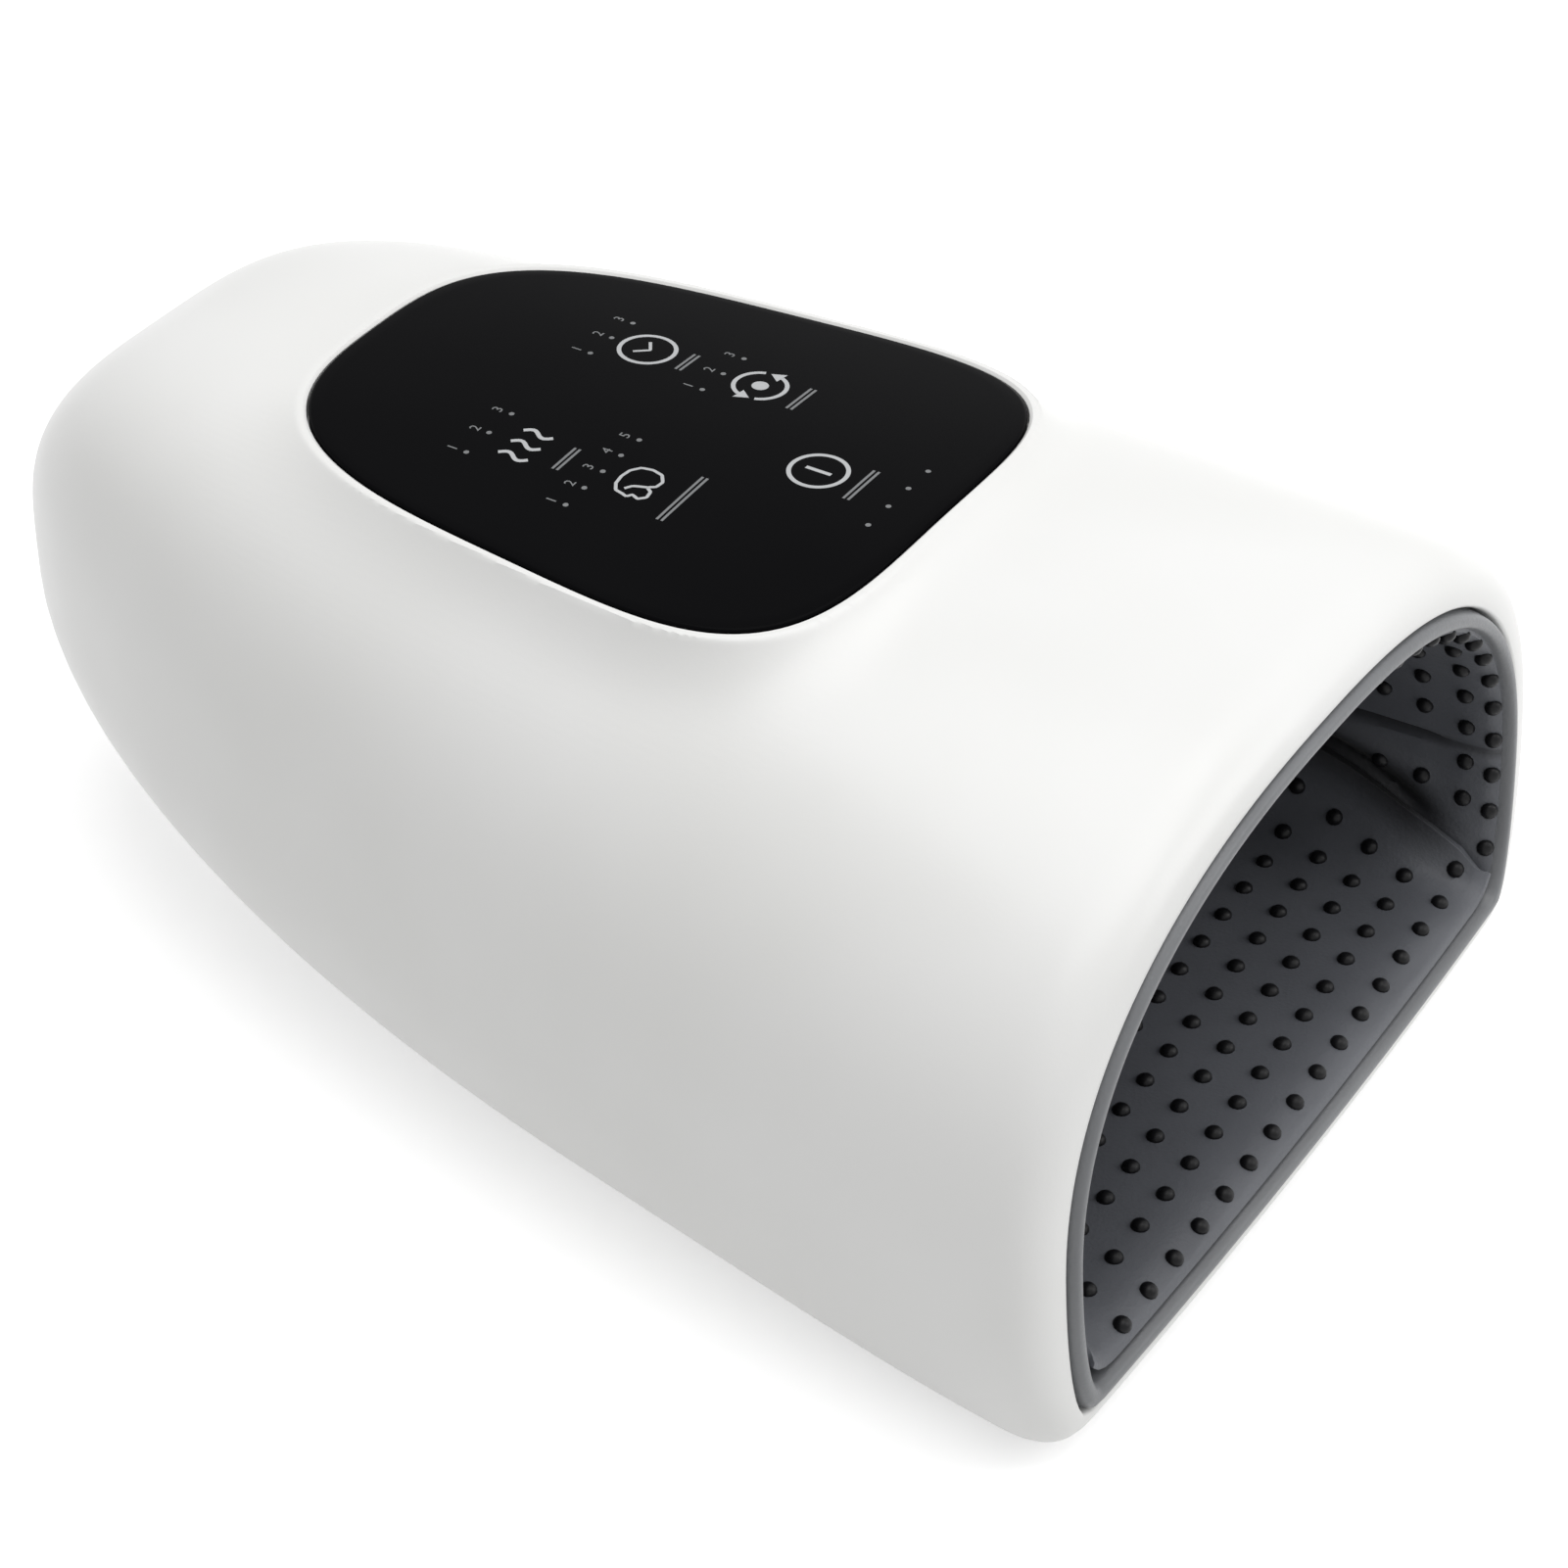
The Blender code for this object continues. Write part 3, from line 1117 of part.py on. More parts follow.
def make_pump(chassis, finishes):
    """The air pump: motor can, pumping head and the rotor with its eccentric."""
    centre = (0, PUMP_Y, PUMP_Z)
    bore = SHAFT_RADIUS + GAP
    inside = PUMP_RADIUS - PUMP_CAN_WALL
    back = PUMP_BACK + PUMP_CAN_WALL
    can = [
        (back + PUMP_BEARING_DEPTH - PUMP_CAN_WALL * 2, bore),
        (back + PUMP_BEARING_DEPTH, bore),
        (back + PUMP_BEARING_DEPTH, PUMP_BEARING_RADIUS),
        (back, PUMP_BEARING_RADIUS),
        (back, inside),
        (PUMP_SPLIT, inside),
        (PUMP_SPLIT, PUMP_RADIUS),
        (PUMP_BACK, PUMP_RADIUS),
    ]
    add_object("pump_motor", turned_mesh("pump_motor", can, centre, "X"), chassis, finishes["can"])
    half = PUMP_HEAD_SIZE / 2
    start = PUMP_SPLIT + GAP
    low = (start, PUMP_Y - half, PUMP_Z - half)
    block = box_mesh("pump_head", low, (PUMP_FRONT, PUMP_Y + half, PUMP_Z + half))
    head = add_object("pump_head", block, chassis, finishes["inner"])
    bevel(head, PUMP_HEAD_EDGE)
    profile = [(start - OVERRUN, PUMP_CHAMBER_RADIUS), (PUMP_CHAMBER_END, PUMP_CHAMBER_RADIUS)]
    chamber = turned_mesh("chamber", profile, centre, "X")
    boolean(head, add_cutter("pump_chamber_cut", chamber, chassis), "DIFFERENCE")
    profile = [
        (PUMP_FRONT - PUMP_CAN_WALL, PUMP_NOZZLE_RADIUS),
        (PUMP_FRONT + PUMP_NOZZLE_LENGTH, PUMP_NOZZLE_RADIUS),
    ]
    nozzle_mesh = turned_mesh("nozzle", profile, centre, "X", SMALL_CIRCLE_STEPS)
    boolean(head, add_cutter("pump_nozzle", nozzle_mesh, chassis), "UNION")
    tail = back + PUMP_BEARING_DEPTH - PUMP_CAN_WALL * 2 + GAP
    shaft = [
        (tail, SHAFT_RADIUS),
        (ARMATURE_BACK, SHAFT_RADIUS),
        (ARMATURE_BACK, ARMATURE_RADIUS),
        (ARMATURE_FRONT, ARMATURE_RADIUS),
        (ARMATURE_FRONT, SHAFT_RADIUS),
        (ECCENTRIC_FRONT + SHAFT_RADIUS, SHAFT_RADIUS),
    ]
    mesh = turned_mesh("pump_rotor", shaft, (0, 0, 0), "X")
    rotor = add_object("pump_rotor", mesh, chassis, finishes["steel"])
    rotor.location = centre
    cam_profile = [(ECCENTRIC_BACK, ECCENTRIC_RADIUS), (ECCENTRIC_FRONT, ECCENTRIC_RADIUS)]
    cam_centre = (0, PUMP_Y, PUMP_Z + ECCENTRIC_THROW)
    cam = turned_mesh("cam", cam_profile, cam_centre, "X")
    boolean(rotor, add_cutter("rotor_cam", cam, chassis), "UNION")


def make_valve(chassis, finishes):
    """The release valve: body, plunger and return spring."""
    centre = (0, VALVE_Y, VALVE_Z)
    body = [
        (VALVE_BORE_BACK, VALVE_BORE_RADIUS),
        (VALVE_FRONT, VALVE_BORE_RADIUS),
        (VALVE_FRONT, VALVE_RADIUS),
        (VALVE_BACK, VALVE_RADIUS),
    ]
    add_object("valve_body", turned_mesh("valve_body", body, centre, "X"), chassis, finishes["can"])
    head = VALVE_FRONT + PLUNGER_TRAVEL + GAP
    plunger = [
        (PLUNGER_BACK, PLUNGER_RADIUS),
        (head, PLUNGER_RADIUS),
        (head, PLUNGER_HEAD_RADIUS),
        (head + PLUNGER_HEAD_THICK, PLUNGER_HEAD_RADIUS),
    ]
    mesh = turned_mesh("valve_plunger", plunger, (0, 0, 0), "X", SMALL_CIRCLE_STEPS)
    made = add_object("valve_plunger", mesh, chassis, finishes["steel"])
    made.location = centre
    add_object("valve_spring", spring_mesh(), chassis, finishes["steel"])


def spring_mesh():
    """A coil of round wire between the bore's end and the plunger, swept along a helix."""
    low = VALVE_BORE_BACK + GAP + SPRING_WIRE_RADIUS
    high = PLUNGER_BACK - GAP - SPRING_WIRE_RADIUS
    count = SPRING_TURNS * SPRING_STEPS_PER_TURN
    rings = []
    for i in range(count + 1):
        turn = 2 * math.pi * i / SPRING_STEPS_PER_TURN
        along = low + (high - low) * i / count
        radial = (math.cos(turn), math.sin(turn))
        ring = []
        for k in range(SPRING_WIRE_STEPS):
            angle = 2 * math.pi * k / SPRING_WIRE_STEPS
            reach = SPRING_RADIUS + SPRING_WIRE_RADIUS * math.cos(angle)
            x = along + SPRING_WIRE_RADIUS * math.sin(angle)
            ring.append((x, VALVE_Y + reach * radial[0], VALVE_Z + reach * radial[1]))
        rings.append(ring)
    return rings_mesh("valve_spring", rings)


def make_rear_bracket(chassis, finish):
    """The bracket at the tunnel's end, with cheeks that cradle the pump and the valve."""
    plate_front = TUNNEL_END
    cheek_back = PUMP_Y + BRACKET_REACH
    plate = box_mesh(
        "rear_bracket",
        (-BRACKET_HALF, plate_front, BRACKET_FLOOR),
        (BRACKET_HALF, plate_front + BRACKET_PLATE, BRACKET_TOP),
    )
    bracket = add_object("rear_bracket", plate, chassis, finish)
    for side in (-1, 1):
        root = plate_front + BRACKET_PLATE / 2
        low = (side * BRACKET_CHEEK_X - BRACKET_CHEEK / 2, root, BRACKET_FLOOR)
        high = (side * BRACKET_CHEEK_X + BRACKET_CHEEK / 2, cheek_back, PUMP_Z)
        cheek = add_cutter(f"bracket_cheek_{side + 1}", box_mesh("cheek", low, high), chassis)
        boolean(bracket, cheek, "UNION")
    profile = [(way * (BRACKET_HALF + OVERRUN), PUMP_RADIUS + GAP) for way in (-1, 1)]
    pump = turned_mesh("pump_cut", profile, (0, PUMP_Y, PUMP_Z), "X")
    boolean(bracket, add_cutter("bracket_pump_cut", pump, chassis), "DIFFERENCE")
    half = PUMP_HEAD_SIZE / 2 + GAP
    head_low = (PUMP_SPLIT, PUMP_Y - half, PUMP_Z - half)
    head = box_mesh("head_cut", head_low, (PUMP_FRONT + OVERRUN, PUMP_Y + half, PUMP_Z + half))
    boolean(bracket, add_cutter("bracket_head_cut", head, chassis), "DIFFERENCE")
    profile = [(way * BRACKET_HALF, VALVE_RADIUS + GAP) for way in (-1, 1)]
    valve = turned_mesh("valve_cut", profile, (0, VALVE_Y, VALVE_Z), "X")
    boolean(bracket, add_cutter("bracket_valve_cut", valve, chassis), "DIFFERENCE")


def socket_frame():
    """The inlet's place on the far side wall and its turn to face straight out of the wall."""
    step = OVERRUN
    ahead = shell_half_at(SOCKET_Y + step, SOCKET_Z)
    behind = shell_half_at(SOCKET_Y - step, SOCKET_Z)
    turn = math.atan2(behind - ahead, 2 * step)
    return shell_half_at(SOCKET_Y, SOCKET_Z), turn


def socket_box(name, width, thick, start, end):
    """A box that lies along the inlet's own axis, from start to end outward of the wall."""
    middle, turn = socket_frame()
    rings = []
    for level in (SOCKET_Z - thick / 2, SOCKET_Z + thick / 2):
        ring = []
        for along, out in ((-width / 2, start), (width / 2, start), (width / 2, end), (-width / 2, end)):
            x = middle + out * math.cos(turn) - along * math.sin(turn)
            y = SOCKET_Y + out * math.sin(turn) + along * math.cos(turn)
            ring.append((x, y, level))
        rings.append(ring)
    return rings_mesh(name, rings)


def socket_cutters(chassis):
    """The flat pocket and the slot that the inlet needs in the casing's wall."""
    flat_width = SOCKET_WIDTH + 2 * SOCKET_FLAT_INSET + 2 * GAP
    flat_thick = SOCKET_THICK + 2 * SOCKET_FLAT_INSET + 2 * GAP
    pocket = socket_box("pocket", flat_width, flat_thick, -SHELL_WALL / 3, OVERRUN)
    slot = socket_box("slot", SOCKET_WIDTH + 2 * GAP, SOCKET_THICK + 2 * GAP, -2 * OVERRUN, OVERRUN)
    return [add_cutter("socket_pocket_cut", pocket, chassis), add_cutter("socket_slot_cut", slot, chassis)]


def make_charge_socket(chassis, finish):
    """The charging inlet: a metal mouth with a contact tongue, on a flange behind the wall."""
    face = -SHELL_WALL / 3 - GAP
    flange_out = -SHELL_WALL - 3 * GAP
    body = socket_box("charge_socket", SOCKET_WIDTH, SOCKET_THICK, face - SOCKET_DEPTH, face)
    socket = add_object("charge_socket", body, chassis, finish)
    width = SOCKET_WIDTH + 2 * SOCKET_FLANGE
    thick = SOCKET_THICK + 2 * SOCKET_FLANGE
    flange = socket_box("flange", width, thick, flange_out - SOCKET_FLANGE_THICK, flange_out)
    boolean(socket, add_cutter("socket_flange", flange, chassis), "UNION")
    width = SOCKET_WIDTH - 2 * SOCKET_WALL
    thick = SOCKET_THICK - 2 * SOCKET_WALL
    hollow = socket_box("hollow", width, thick, face - SOCKET_TONGUE_DEPTH, face + OVERRUN)
    boolean(socket, add_cutter("socket_hollow_cut", hollow, chassis), "DIFFERENCE")
    tongue_start = face - SOCKET_TONGUE_DEPTH - SOCKET_WALL
    tongue = socket_box("tongue", SOCKET_TONGUE_WIDTH, SOCKET_TONGUE_THICK, tongue_start, face - SOCKET_WALL)
    boolean(socket, add_cutter("socket_tongue", tongue, chassis), "UNION")


def main():
    for old in list(bpy.data.objects):
        bpy.data.objects.remove(old, do_unlink=True)
    chassis = bpy.data.objects.new("chassis", None)
    bpy.context.collection.objects.link(chassis)
    chassis.location = (0, -ORIGIN_Y, FOOT_STAND)
    finishes = {
        "casing": material("white_casing", (0.86, 0.86, 0.85), 0.22),
        "glass": material("black_panel", (0.012, 0.012, 0.014), 0.08),
        "lining": material("grey_lining", (0.09, 0.095, 0.105), 0.45),
        "welt": material("grey_welt", (0.2, 0.21, 0.22), 0.5),
        "bladder": material("air_bladder", (0.05, 0.05, 0.055), 0.4),
        "film": material("heating_film", (0.03, 0.03, 0.03), 0.5),
        "inner": material("inner_plastic", (0.07, 0.07, 0.075), 0.5),
        "rubber": material("rubber", (0.04, 0.04, 0.045), 0.8),
        "steel": material("steel", (0.6, 0.6, 0.6), 0.3, 1.0),
        "can": material("motor_steel", (0.5, 0.5, 0.52), 0.35, 1.0),
        "cell": material("cell_wrap", (0.05, 0.2, 0.42), 0.35),
        "board": material("circuit_board", (0.02, 0.14, 0.06), 0.5),
        "guide": material("light_guide", (0.8, 0.8, 0.78), 0.5),
        "tape": material("adhesive_frame", (0.03, 0.03, 0.03), 0.7),
    }
    make_upper_shell(chassis, finishes["casing"])
    make_touch_panel(chassis, finishes["glass"])
    make_panel_gasket(chassis, finishes["tape"])
    make_light_guide(chassis, finishes["guide"])
    make_touch_board(chassis, finishes["board"])
    make_tunnel_frame(chassis, finishes["inner"])
    make_liner_wall(chassis, finishes["lining"])
    make_liner_welt(chassis, finishes["welt"])
    make_floor_stack(chassis, finishes)
    make_roof_stack(chassis, finishes)
    make_base_cover(chassis, finishes["casing"])
    make_feet_and_screws(chassis, finishes)
    make_main_board(chassis, finishes["board"])
    make_battery(chassis, finishes)
    make_pump(chassis, finishes)
    make_valve(chassis, finishes)
    make_rear_bracket(chassis, finishes["inner"])
    make_charge_socket(chassis, finishes["steel"])


main()
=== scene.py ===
import math

import bmesh
import bpy
import numpy as np
from mathutils import Matrix, Vector
from mathutils.bvhtree import BVHTree


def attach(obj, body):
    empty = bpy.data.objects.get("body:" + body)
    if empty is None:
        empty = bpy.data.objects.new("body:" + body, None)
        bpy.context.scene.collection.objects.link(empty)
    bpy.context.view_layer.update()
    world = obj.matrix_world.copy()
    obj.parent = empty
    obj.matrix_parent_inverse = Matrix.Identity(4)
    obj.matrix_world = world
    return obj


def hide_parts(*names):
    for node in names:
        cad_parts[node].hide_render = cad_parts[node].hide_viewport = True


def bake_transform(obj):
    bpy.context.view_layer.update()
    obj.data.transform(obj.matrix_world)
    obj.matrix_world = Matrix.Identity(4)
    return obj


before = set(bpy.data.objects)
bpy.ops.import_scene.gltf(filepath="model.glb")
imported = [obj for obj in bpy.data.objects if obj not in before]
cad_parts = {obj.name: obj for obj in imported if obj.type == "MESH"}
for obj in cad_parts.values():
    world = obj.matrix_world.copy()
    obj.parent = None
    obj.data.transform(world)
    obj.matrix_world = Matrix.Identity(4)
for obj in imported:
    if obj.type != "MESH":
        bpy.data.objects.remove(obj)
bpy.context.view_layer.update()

# CASING
# One piece of white ABS, injection moulded and polished to a soft gloss. Its lip rolls round the hand
# opening, its toe tucks under, and a raised seat with a soft flare carries the touch panel.
MM = 0.001
MOUTH_Y = -112.648 * MM
UNDERSIDE_Z = 1.5 * MM
CASING_LENGTH = 225 * MM
CASING_WIDTH = 160 * MM
CASING_HEIGHT = 92.9 * MM
CASING_WALL = 2.6 * MM
MOUTH_CREST = 85.7 * MM
CREST_RUN = 117.5 * MM
CASING_WAIST = 30.2 * MM
TIP_WAIST = 46.8 * MM
MOUTH_BASE_TUCK = 12.8 * MM
BASE_TUCK = 22.2 * MM
TOE_TUCK = 94.6 * MM
MOUTH_LEAN = 5 * MM
MOUTH_BOW = 1.8 * MM
MOUTH_WIDTH = 140.8 * MM
MOUTH_SILL = 5.5 * MM
MOUTH_TOP = 79.9 * MM
MOUTH_WAIST = 30.9 * MM
MOUTH_TUCK = 5 * MM
MOUTH_POWER = 2.39
LIP_ROLL = 9.7 * MM
LIP_POWER = 2.54
LIP_RETURN = 5 * MM
LIP_EDGE = 0.9 * MM
PLAN_POWER = 1.74
PLAN_ROUND = 2.51
PLAN_TAPER = 0.088
CREST_POWER = 14.6
CREST_ROUND = 1.22
MOUTH_ARCH_POWER = 2.43
TOE_ARCH_POWER = 4.2
ARCH_CHANGE_SHARE = 0.24
TUCK_CHANGE_SHARE = 0.4
TOE_TUCK_POWER = 2.05
PANEL_FRONT = 64.8 * MM
PANEL_BACK = 164.2 * MM
PANEL_FRONT_HALF = 44.4 * MM
PANEL_BACK_HALF = 33.2 * MM
PANEL_CROWN = 2.8 * MM
PANEL_POWERS = (3.8, 3.35)
PANEL_GAP = 0.3 * MM
SEAT_DEPTH = 3.1 * MM
SEAT_LEDGE = 4.5 * MM
SEAT_FLOOR = 2 * MM
RIM_CHAMFER = 0.4 * MM
FLARE_WIDTH = 13 * MM
FLARE_POWER = 4.6
FLARE_START = 1.7 * MM
FLARE_UNDER = 9 * MM
FLARE_MESH_INSIDE = 4 * MM
FLARE_MESH_OUTSIDE = 3 * MM
FLARE_MESH_CUTS = 3
COVER_FRONT = 26 * MM
COVER_BACK = 100 * MM
COVER_FRONT_HALF = 50 * MM
COVER_BACK_HALF = 36 * MM
COVER_POWER = 4
COVER_SEAT = 1.5 * MM
COVER_LEDGE = 4 * MM
FOOT_RADIUS = 6 * MM
FOOT_SEAT = 0.8 * MM
FOOT_PLACES = [(side * x, y) for x, y in ((44 * MM, 16 * MM), (25 * MM, 112 * MM)) for side in (-1, 1)]
INLET_Y = 160 * MM
INLET_Z = 38 * MM
INLET_WIDTH = 9 * MM
INLET_THICK = 3.3 * MM
POCKET_EDGE = 1.3 * MM
CUT_ROOM = 6 * MM
CUT_SHARP_ANGLE = math.radians(32)
MERGE_WITHIN = 0.005 * MM
SLIVER_WITHIN = 0.002 * MM
ARCH_POINTS = 72
LOW_POINTS = 40
CIRCLE_POINTS = 64
OUTLINE_POINTS = 220
BODY_ROWS = 128
WALL_ROWS = 26
WALL_END_TURN = 0.12
IN_PLACE = Vector((0, MOUTH_Y, UNDERSIDE_Z))


def run_of(points):
    """The distance along a run of points, at each of them."""
    steps = np.linalg.norm(np.diff(points, axis=0), axis=1)
    return np.concatenate([[0], np.cumsum(steps)])


def even_run(points, count):
    """Points at equal steps along a run of points."""
    run = run_of(points)
    places = np.linspace(0, run[-1], count)
    return np.stack([np.interp(places, run, points[:, k]) for k in range(points.shape[1])], axis=1)


def smooth_step(value):
    """0 up to 0 and 1 from 1, with a smooth change between."""
    held = np.clip(value, 0, 1)
    return held * held * (3 - 2 * held)


def arch_of(half, waist, top, power, turn):
    """Points of an arch, at turns from 0 at its right foot to pi at its left one."""
    x = half * np.sign(np.cos(turn)) * np.abs(np.cos(turn)) ** (2 / power)
    return x, waist + (top - waist) * np.sin(turn) ** (2 / power)


def corner_of(half, low, waist, tuck, turn):
    """Points of a section's lower right corner, at turns from pi / 2 under it to 0 at the waist."""
    return half - tuck * (1 - np.cos(turn)), low + (waist - low) * (1 - np.sin(turn))


def section_loop(half, low, waist, top, power, tuck, place):
    """A closed section from the middle of its floor, up the right side, over the arch and back."""
    arch_x, arch_z = arch_of(half, waist, top, power, math.pi / 2 * smooth_step(np.linspace(0, 1, 500)))
    corner = np.linspace(math.pi / 2, 0, 60)[1:]
    corner_x, corner_z = corner_of(half, low, waist, tuck, corner)
    low_x = np.concatenate([np.linspace(0, half - tuck, 60), corner_x])
    low_z = np.concatenate([np.full(60, low), corner_z])
    under = np.concatenate([np.ones(60), 1 - np.cos(corner)])
    low_run = even_run(place(low_x, low_z, under), LOW_POINTS + 1)
    arch_run = even_run(place(arch_x, arch_z, np.zeros(len(arch_x))), ARCH_POINTS + 1)
    right = np.concatenate([low_run, arch_run[1:]])
    left = right[-2:0:-1].copy()
    left[:, 0] *= -1
    return np.concatenate([right, left])


def plan_half(share):
    """Half the casing's width at a share of its length."""
    round_off = max(1 - share ** PLAN_POWER, 0) ** (1 / PLAN_ROUND)
    return CASING_WIDTH / 2 * (1 - PLAN_TAPER * share) * round_off


def crest(share):
    """The casing's top line: a climb from the mouth, a level ridge and a round fall to the toe."""
    climb = min(share * CASING_LENGTH / CREST_RUN, 1)
    ridge = MOUTH_CREST + (CASING_HEIGHT - MOUTH_CREST) * (2 * climb - climb * climb)
    return TIP_WAIST + (ridge - TIP_WAIST) * max(1 - share ** CREST_POWER, 0) ** (1 / CREST_ROUND)


def arch_power(share):
    """The casing's arch is rounder at the mouth and squarer at the toe."""
    change = (max(share - ARCH_CHANGE_SHARE, 0) / (1 - ARCH_CHANGE_SHARE)) ** 2
    return MOUTH_ARCH_POWER + (TOE_ARCH_POWER - MOUTH_ARCH_POWER) * change


def waist_level(share):
    """The height of the casing's widest line."""
    return CASING_WAIST + (TIP_WAIST - CASING_WAIST) * share ** 2


def mouth_shift(x, z, share):
    """The mouth leans back at its top and bows back at its sides."""
    lean = MOUTH_LEAN * z / CASING_HEIGHT
    bow = MOUTH_BOW * (x / (CASING_WIDTH / 2)) ** 2
    return (lean + bow) * (1 - share) ** 2


def leaned(x, z, y):
    """A section's points at a length behind the mouth, leaned and bowed as the mouth is."""
    return np.stack([x, y + mouth_shift(x, z, y / CASING_LENGTH), z], axis=1)


def casing_row(share, inset=0.0):
    """One closed row of points round the casing at a share of its length."""
    def place(x, z, under):
        y = (CASING_LENGTH - inset) * share - TOE_TUCK * under * share ** TOE_TUCK_POWER
        return np.stack([x, y + mouth_shift(x, z, share), z], axis=1)

    full_half = plan_half(share)
    deepen = (BASE_TUCK - MOUTH_BASE_TUCK) * smooth_step(share / TUCK_CHANGE_SHARE)
    tuck = (MOUTH_BASE_TUCK + deepen) * full_half / (CASING_WIDTH / 2)
    half = max(full_half - inset, tuck + inset)
    top = crest(share) - inset
    return section_loop(half, inset, waist_level(share), top, arch_power(share), tuck, place)


def mouth_row(inset, sill_inset, depth):
    """A row round the mouth's outline, drawn in by an inset, at a depth behind the mouth."""
    return section_loop(
        MOUTH_WIDTH / 2 - inset, MOUTH_SILL + sill_inset, MOUTH_WAIST, MOUTH_TOP - inset,
        MOUTH_POWER, MOUTH_TUCK, lambda x, z, under: leaned(x, z, depth),
    )


def lip_row(outward, depth):
    """A row of the rolled lip, from the mouth's edge (0) out to the casing's side (1)."""
    inner = mouth_row(0, 0, depth)
    row = inner + (casing_row(depth / CASING_LENGTH) - inner) * outward
    return leaned(row[:, 0], row[:, 2], depth)


def tapered_outline(front, back, front_half, back_half, powers, offset):
    """A rounded outline, wide at the front and narrow at the back, with evenly spaced points."""
    angle = np.linspace(0, 2 * math.pi, 1441)
    power = np.where(np.sin(angle) < 0, powers[0], powers[1])
    along = np.sign(np.sin(angle)) * np.abs(np.sin(angle)) ** (2 / power)
    across = np.sign(np.cos(angle)) * np.abs(np.cos(angle)) ** (2 / power)
    mean_half = (front_half + back_half) / 2
    x = (mean_half + (back_half - front_half) / 2 * along + offset) * across
    y = (front + back) / 2 + ((back - front) / 2 + offset) * along
    return even_run(np.stack([x, y], axis=1), OUTLINE_POINTS + 1)[:-1]


def panel_outline(offset):
    return tapered_outline(
        PANEL_FRONT, PANEL_BACK, PANEL_FRONT_HALF, PANEL_BACK_HALF, PANEL_POWERS, offset
    )


def cover_outline(offset):
    return tapered_outline(
        COVER_FRONT, COVER_BACK, COVER_FRONT_HALF, COVER_BACK_HALF, (COVER_POWER, COVER_POWER), offset
    )


def panel_level(x):
    """The height of the panel's domed face."""
    return CASING_HEIGHT - PANEL_CROWN * (x / PANEL_FRONT_HALF) ** 2


def panel_ring(offset, drop, share=1.0):
    """A ring of the panel's outline, lying a drop under its domed face."""
    outline = panel_outline(offset)
    middle = np.array([0, (PANEL_FRONT + PANEL_BACK) / 2])
    outline = middle + (outline - middle) * share
    return np.column_stack([outline, panel_level(outline[:, 0]) - drop])


def flat_ring(outline, level):
    return np.column_stack([outline, np.full(len(outline), level)])


def circle_round(middle, radius, points=CIRCLE_POINTS):
    """Evenly spaced points round a circle in the plan."""
    turns = np.linspace(0, 2 * math.pi, points + 1)[:-1]
    return np.array(middle) + radius * np.column_stack([np.cos(turns), np.sin(turns)])


def panel_offset(x, y):
    """How far outside the panel's outline each point of the plan lies."""
    low = np.full(x.shape, -PANEL_BACK_HALF)
    high = np.full(x.shape, CASING_LENGTH)
    for _ in range(40):
        middle = (low + high) / 2
        along = (y - (PANEL_FRONT + PANEL_BACK) / 2) / ((PANEL_BACK - PANEL_FRONT) / 2 + middle)
        half = (PANEL_FRONT_HALF + PANEL_BACK_HALF) / 2 + middle
        half = half + (PANEL_BACK_HALF - PANEL_FRONT_HALF) / 2 * along
        power = np.where(along < 0, PANEL_POWERS[0], PANEL_POWERS[1])
        outside = np.abs(x / half) ** power + np.abs(along) ** power > 1
        low = np.where(outside, middle, low)
        high = np.where(outside, high, middle)
    return low


def join(bm, lower, upper, closed=True):
    """Faces between two rows of vertices."""
    count = len(lower)
    for i in range(count if closed else count - 1):
        j = (i + 1) % count
        bm.faces.new((lower[i], lower[j], upper[j], upper[i]))


def skin(bm, rows, closed=True):
    """Faces between neighbouring rows of points; returns the rows of vertices."""
    made = [[bm.verts.new(point) for point in row] for row in rows]
    for lower, upper in zip(made, made[1:]):
        join(bm, lower, upper, closed)
    return made


def linked(name, data):
    """A new object of the scene that carries the data."""
    made = bpy.data.objects.new(name, data)
    bpy.context.collection.objects.link(made)
    return made


def piece_from(name, bm, sharp_angle=math.radians(35), in_frame=False):
    """A bmesh made a smooth shaded object, merged, facing out and moved to its place."""
    bmesh.ops.remove_doubles(bm, verts=bm.verts, dist=MERGE_WITHIN)
    bmesh.ops.dissolve_degenerate(bm, edges=bm.edges, dist=SLIVER_WITHIN)
    bmesh.ops.recalc_face_normals(bm, faces=bm.faces)
    if not in_frame:
        bmesh.ops.translate(bm, verts=bm.verts, vec=IN_PLACE)
    mesh = bpy.data.meshes.new(name)
    bm.to_mesh(mesh)
    bm.free()
    mesh.shade_smooth()
    mesh.set_sharp_from_angle(angle=sharp_angle)
    return linked(name, mesh)


def ringed(bm, rings):
    """A closed body through rings, capped at both ends."""
    made = skin(bm, rings)
    bm.faces.new(made[0])
    bm.faces.new(made[-1])


def settle(piece):
    """Turn what the modifiers make into the piece's own plain mesh."""
    graph = bpy.context.evaluated_depsgraph_get()
    mesh = bpy.data.meshes.new_from_object(piece.evaluated_get(graph))
    piece.modifiers.clear()
    piece.data = mesh
    return piece


def cut_away(piece, cutter):
    """Cut the cutter out of the piece for good."""
    step = piece.modifiers.new("cut", "BOOLEAN")
    step.operation = "DIFFERENCE"
    step.solver = "EXACT"
    step.object = cutter
    settle(piece)
    bpy.data.objects.remove(cutter, do_unlink=True)
    piece.data.shade_smooth()
    piece.data.set_sharp_from_angle(angle=CUT_SHARP_ANGLE)


def give(piece, finish):
    """Make the finish the piece's only material."""
    piece.data.materials.clear()
    piece.data.materials.append(finish)


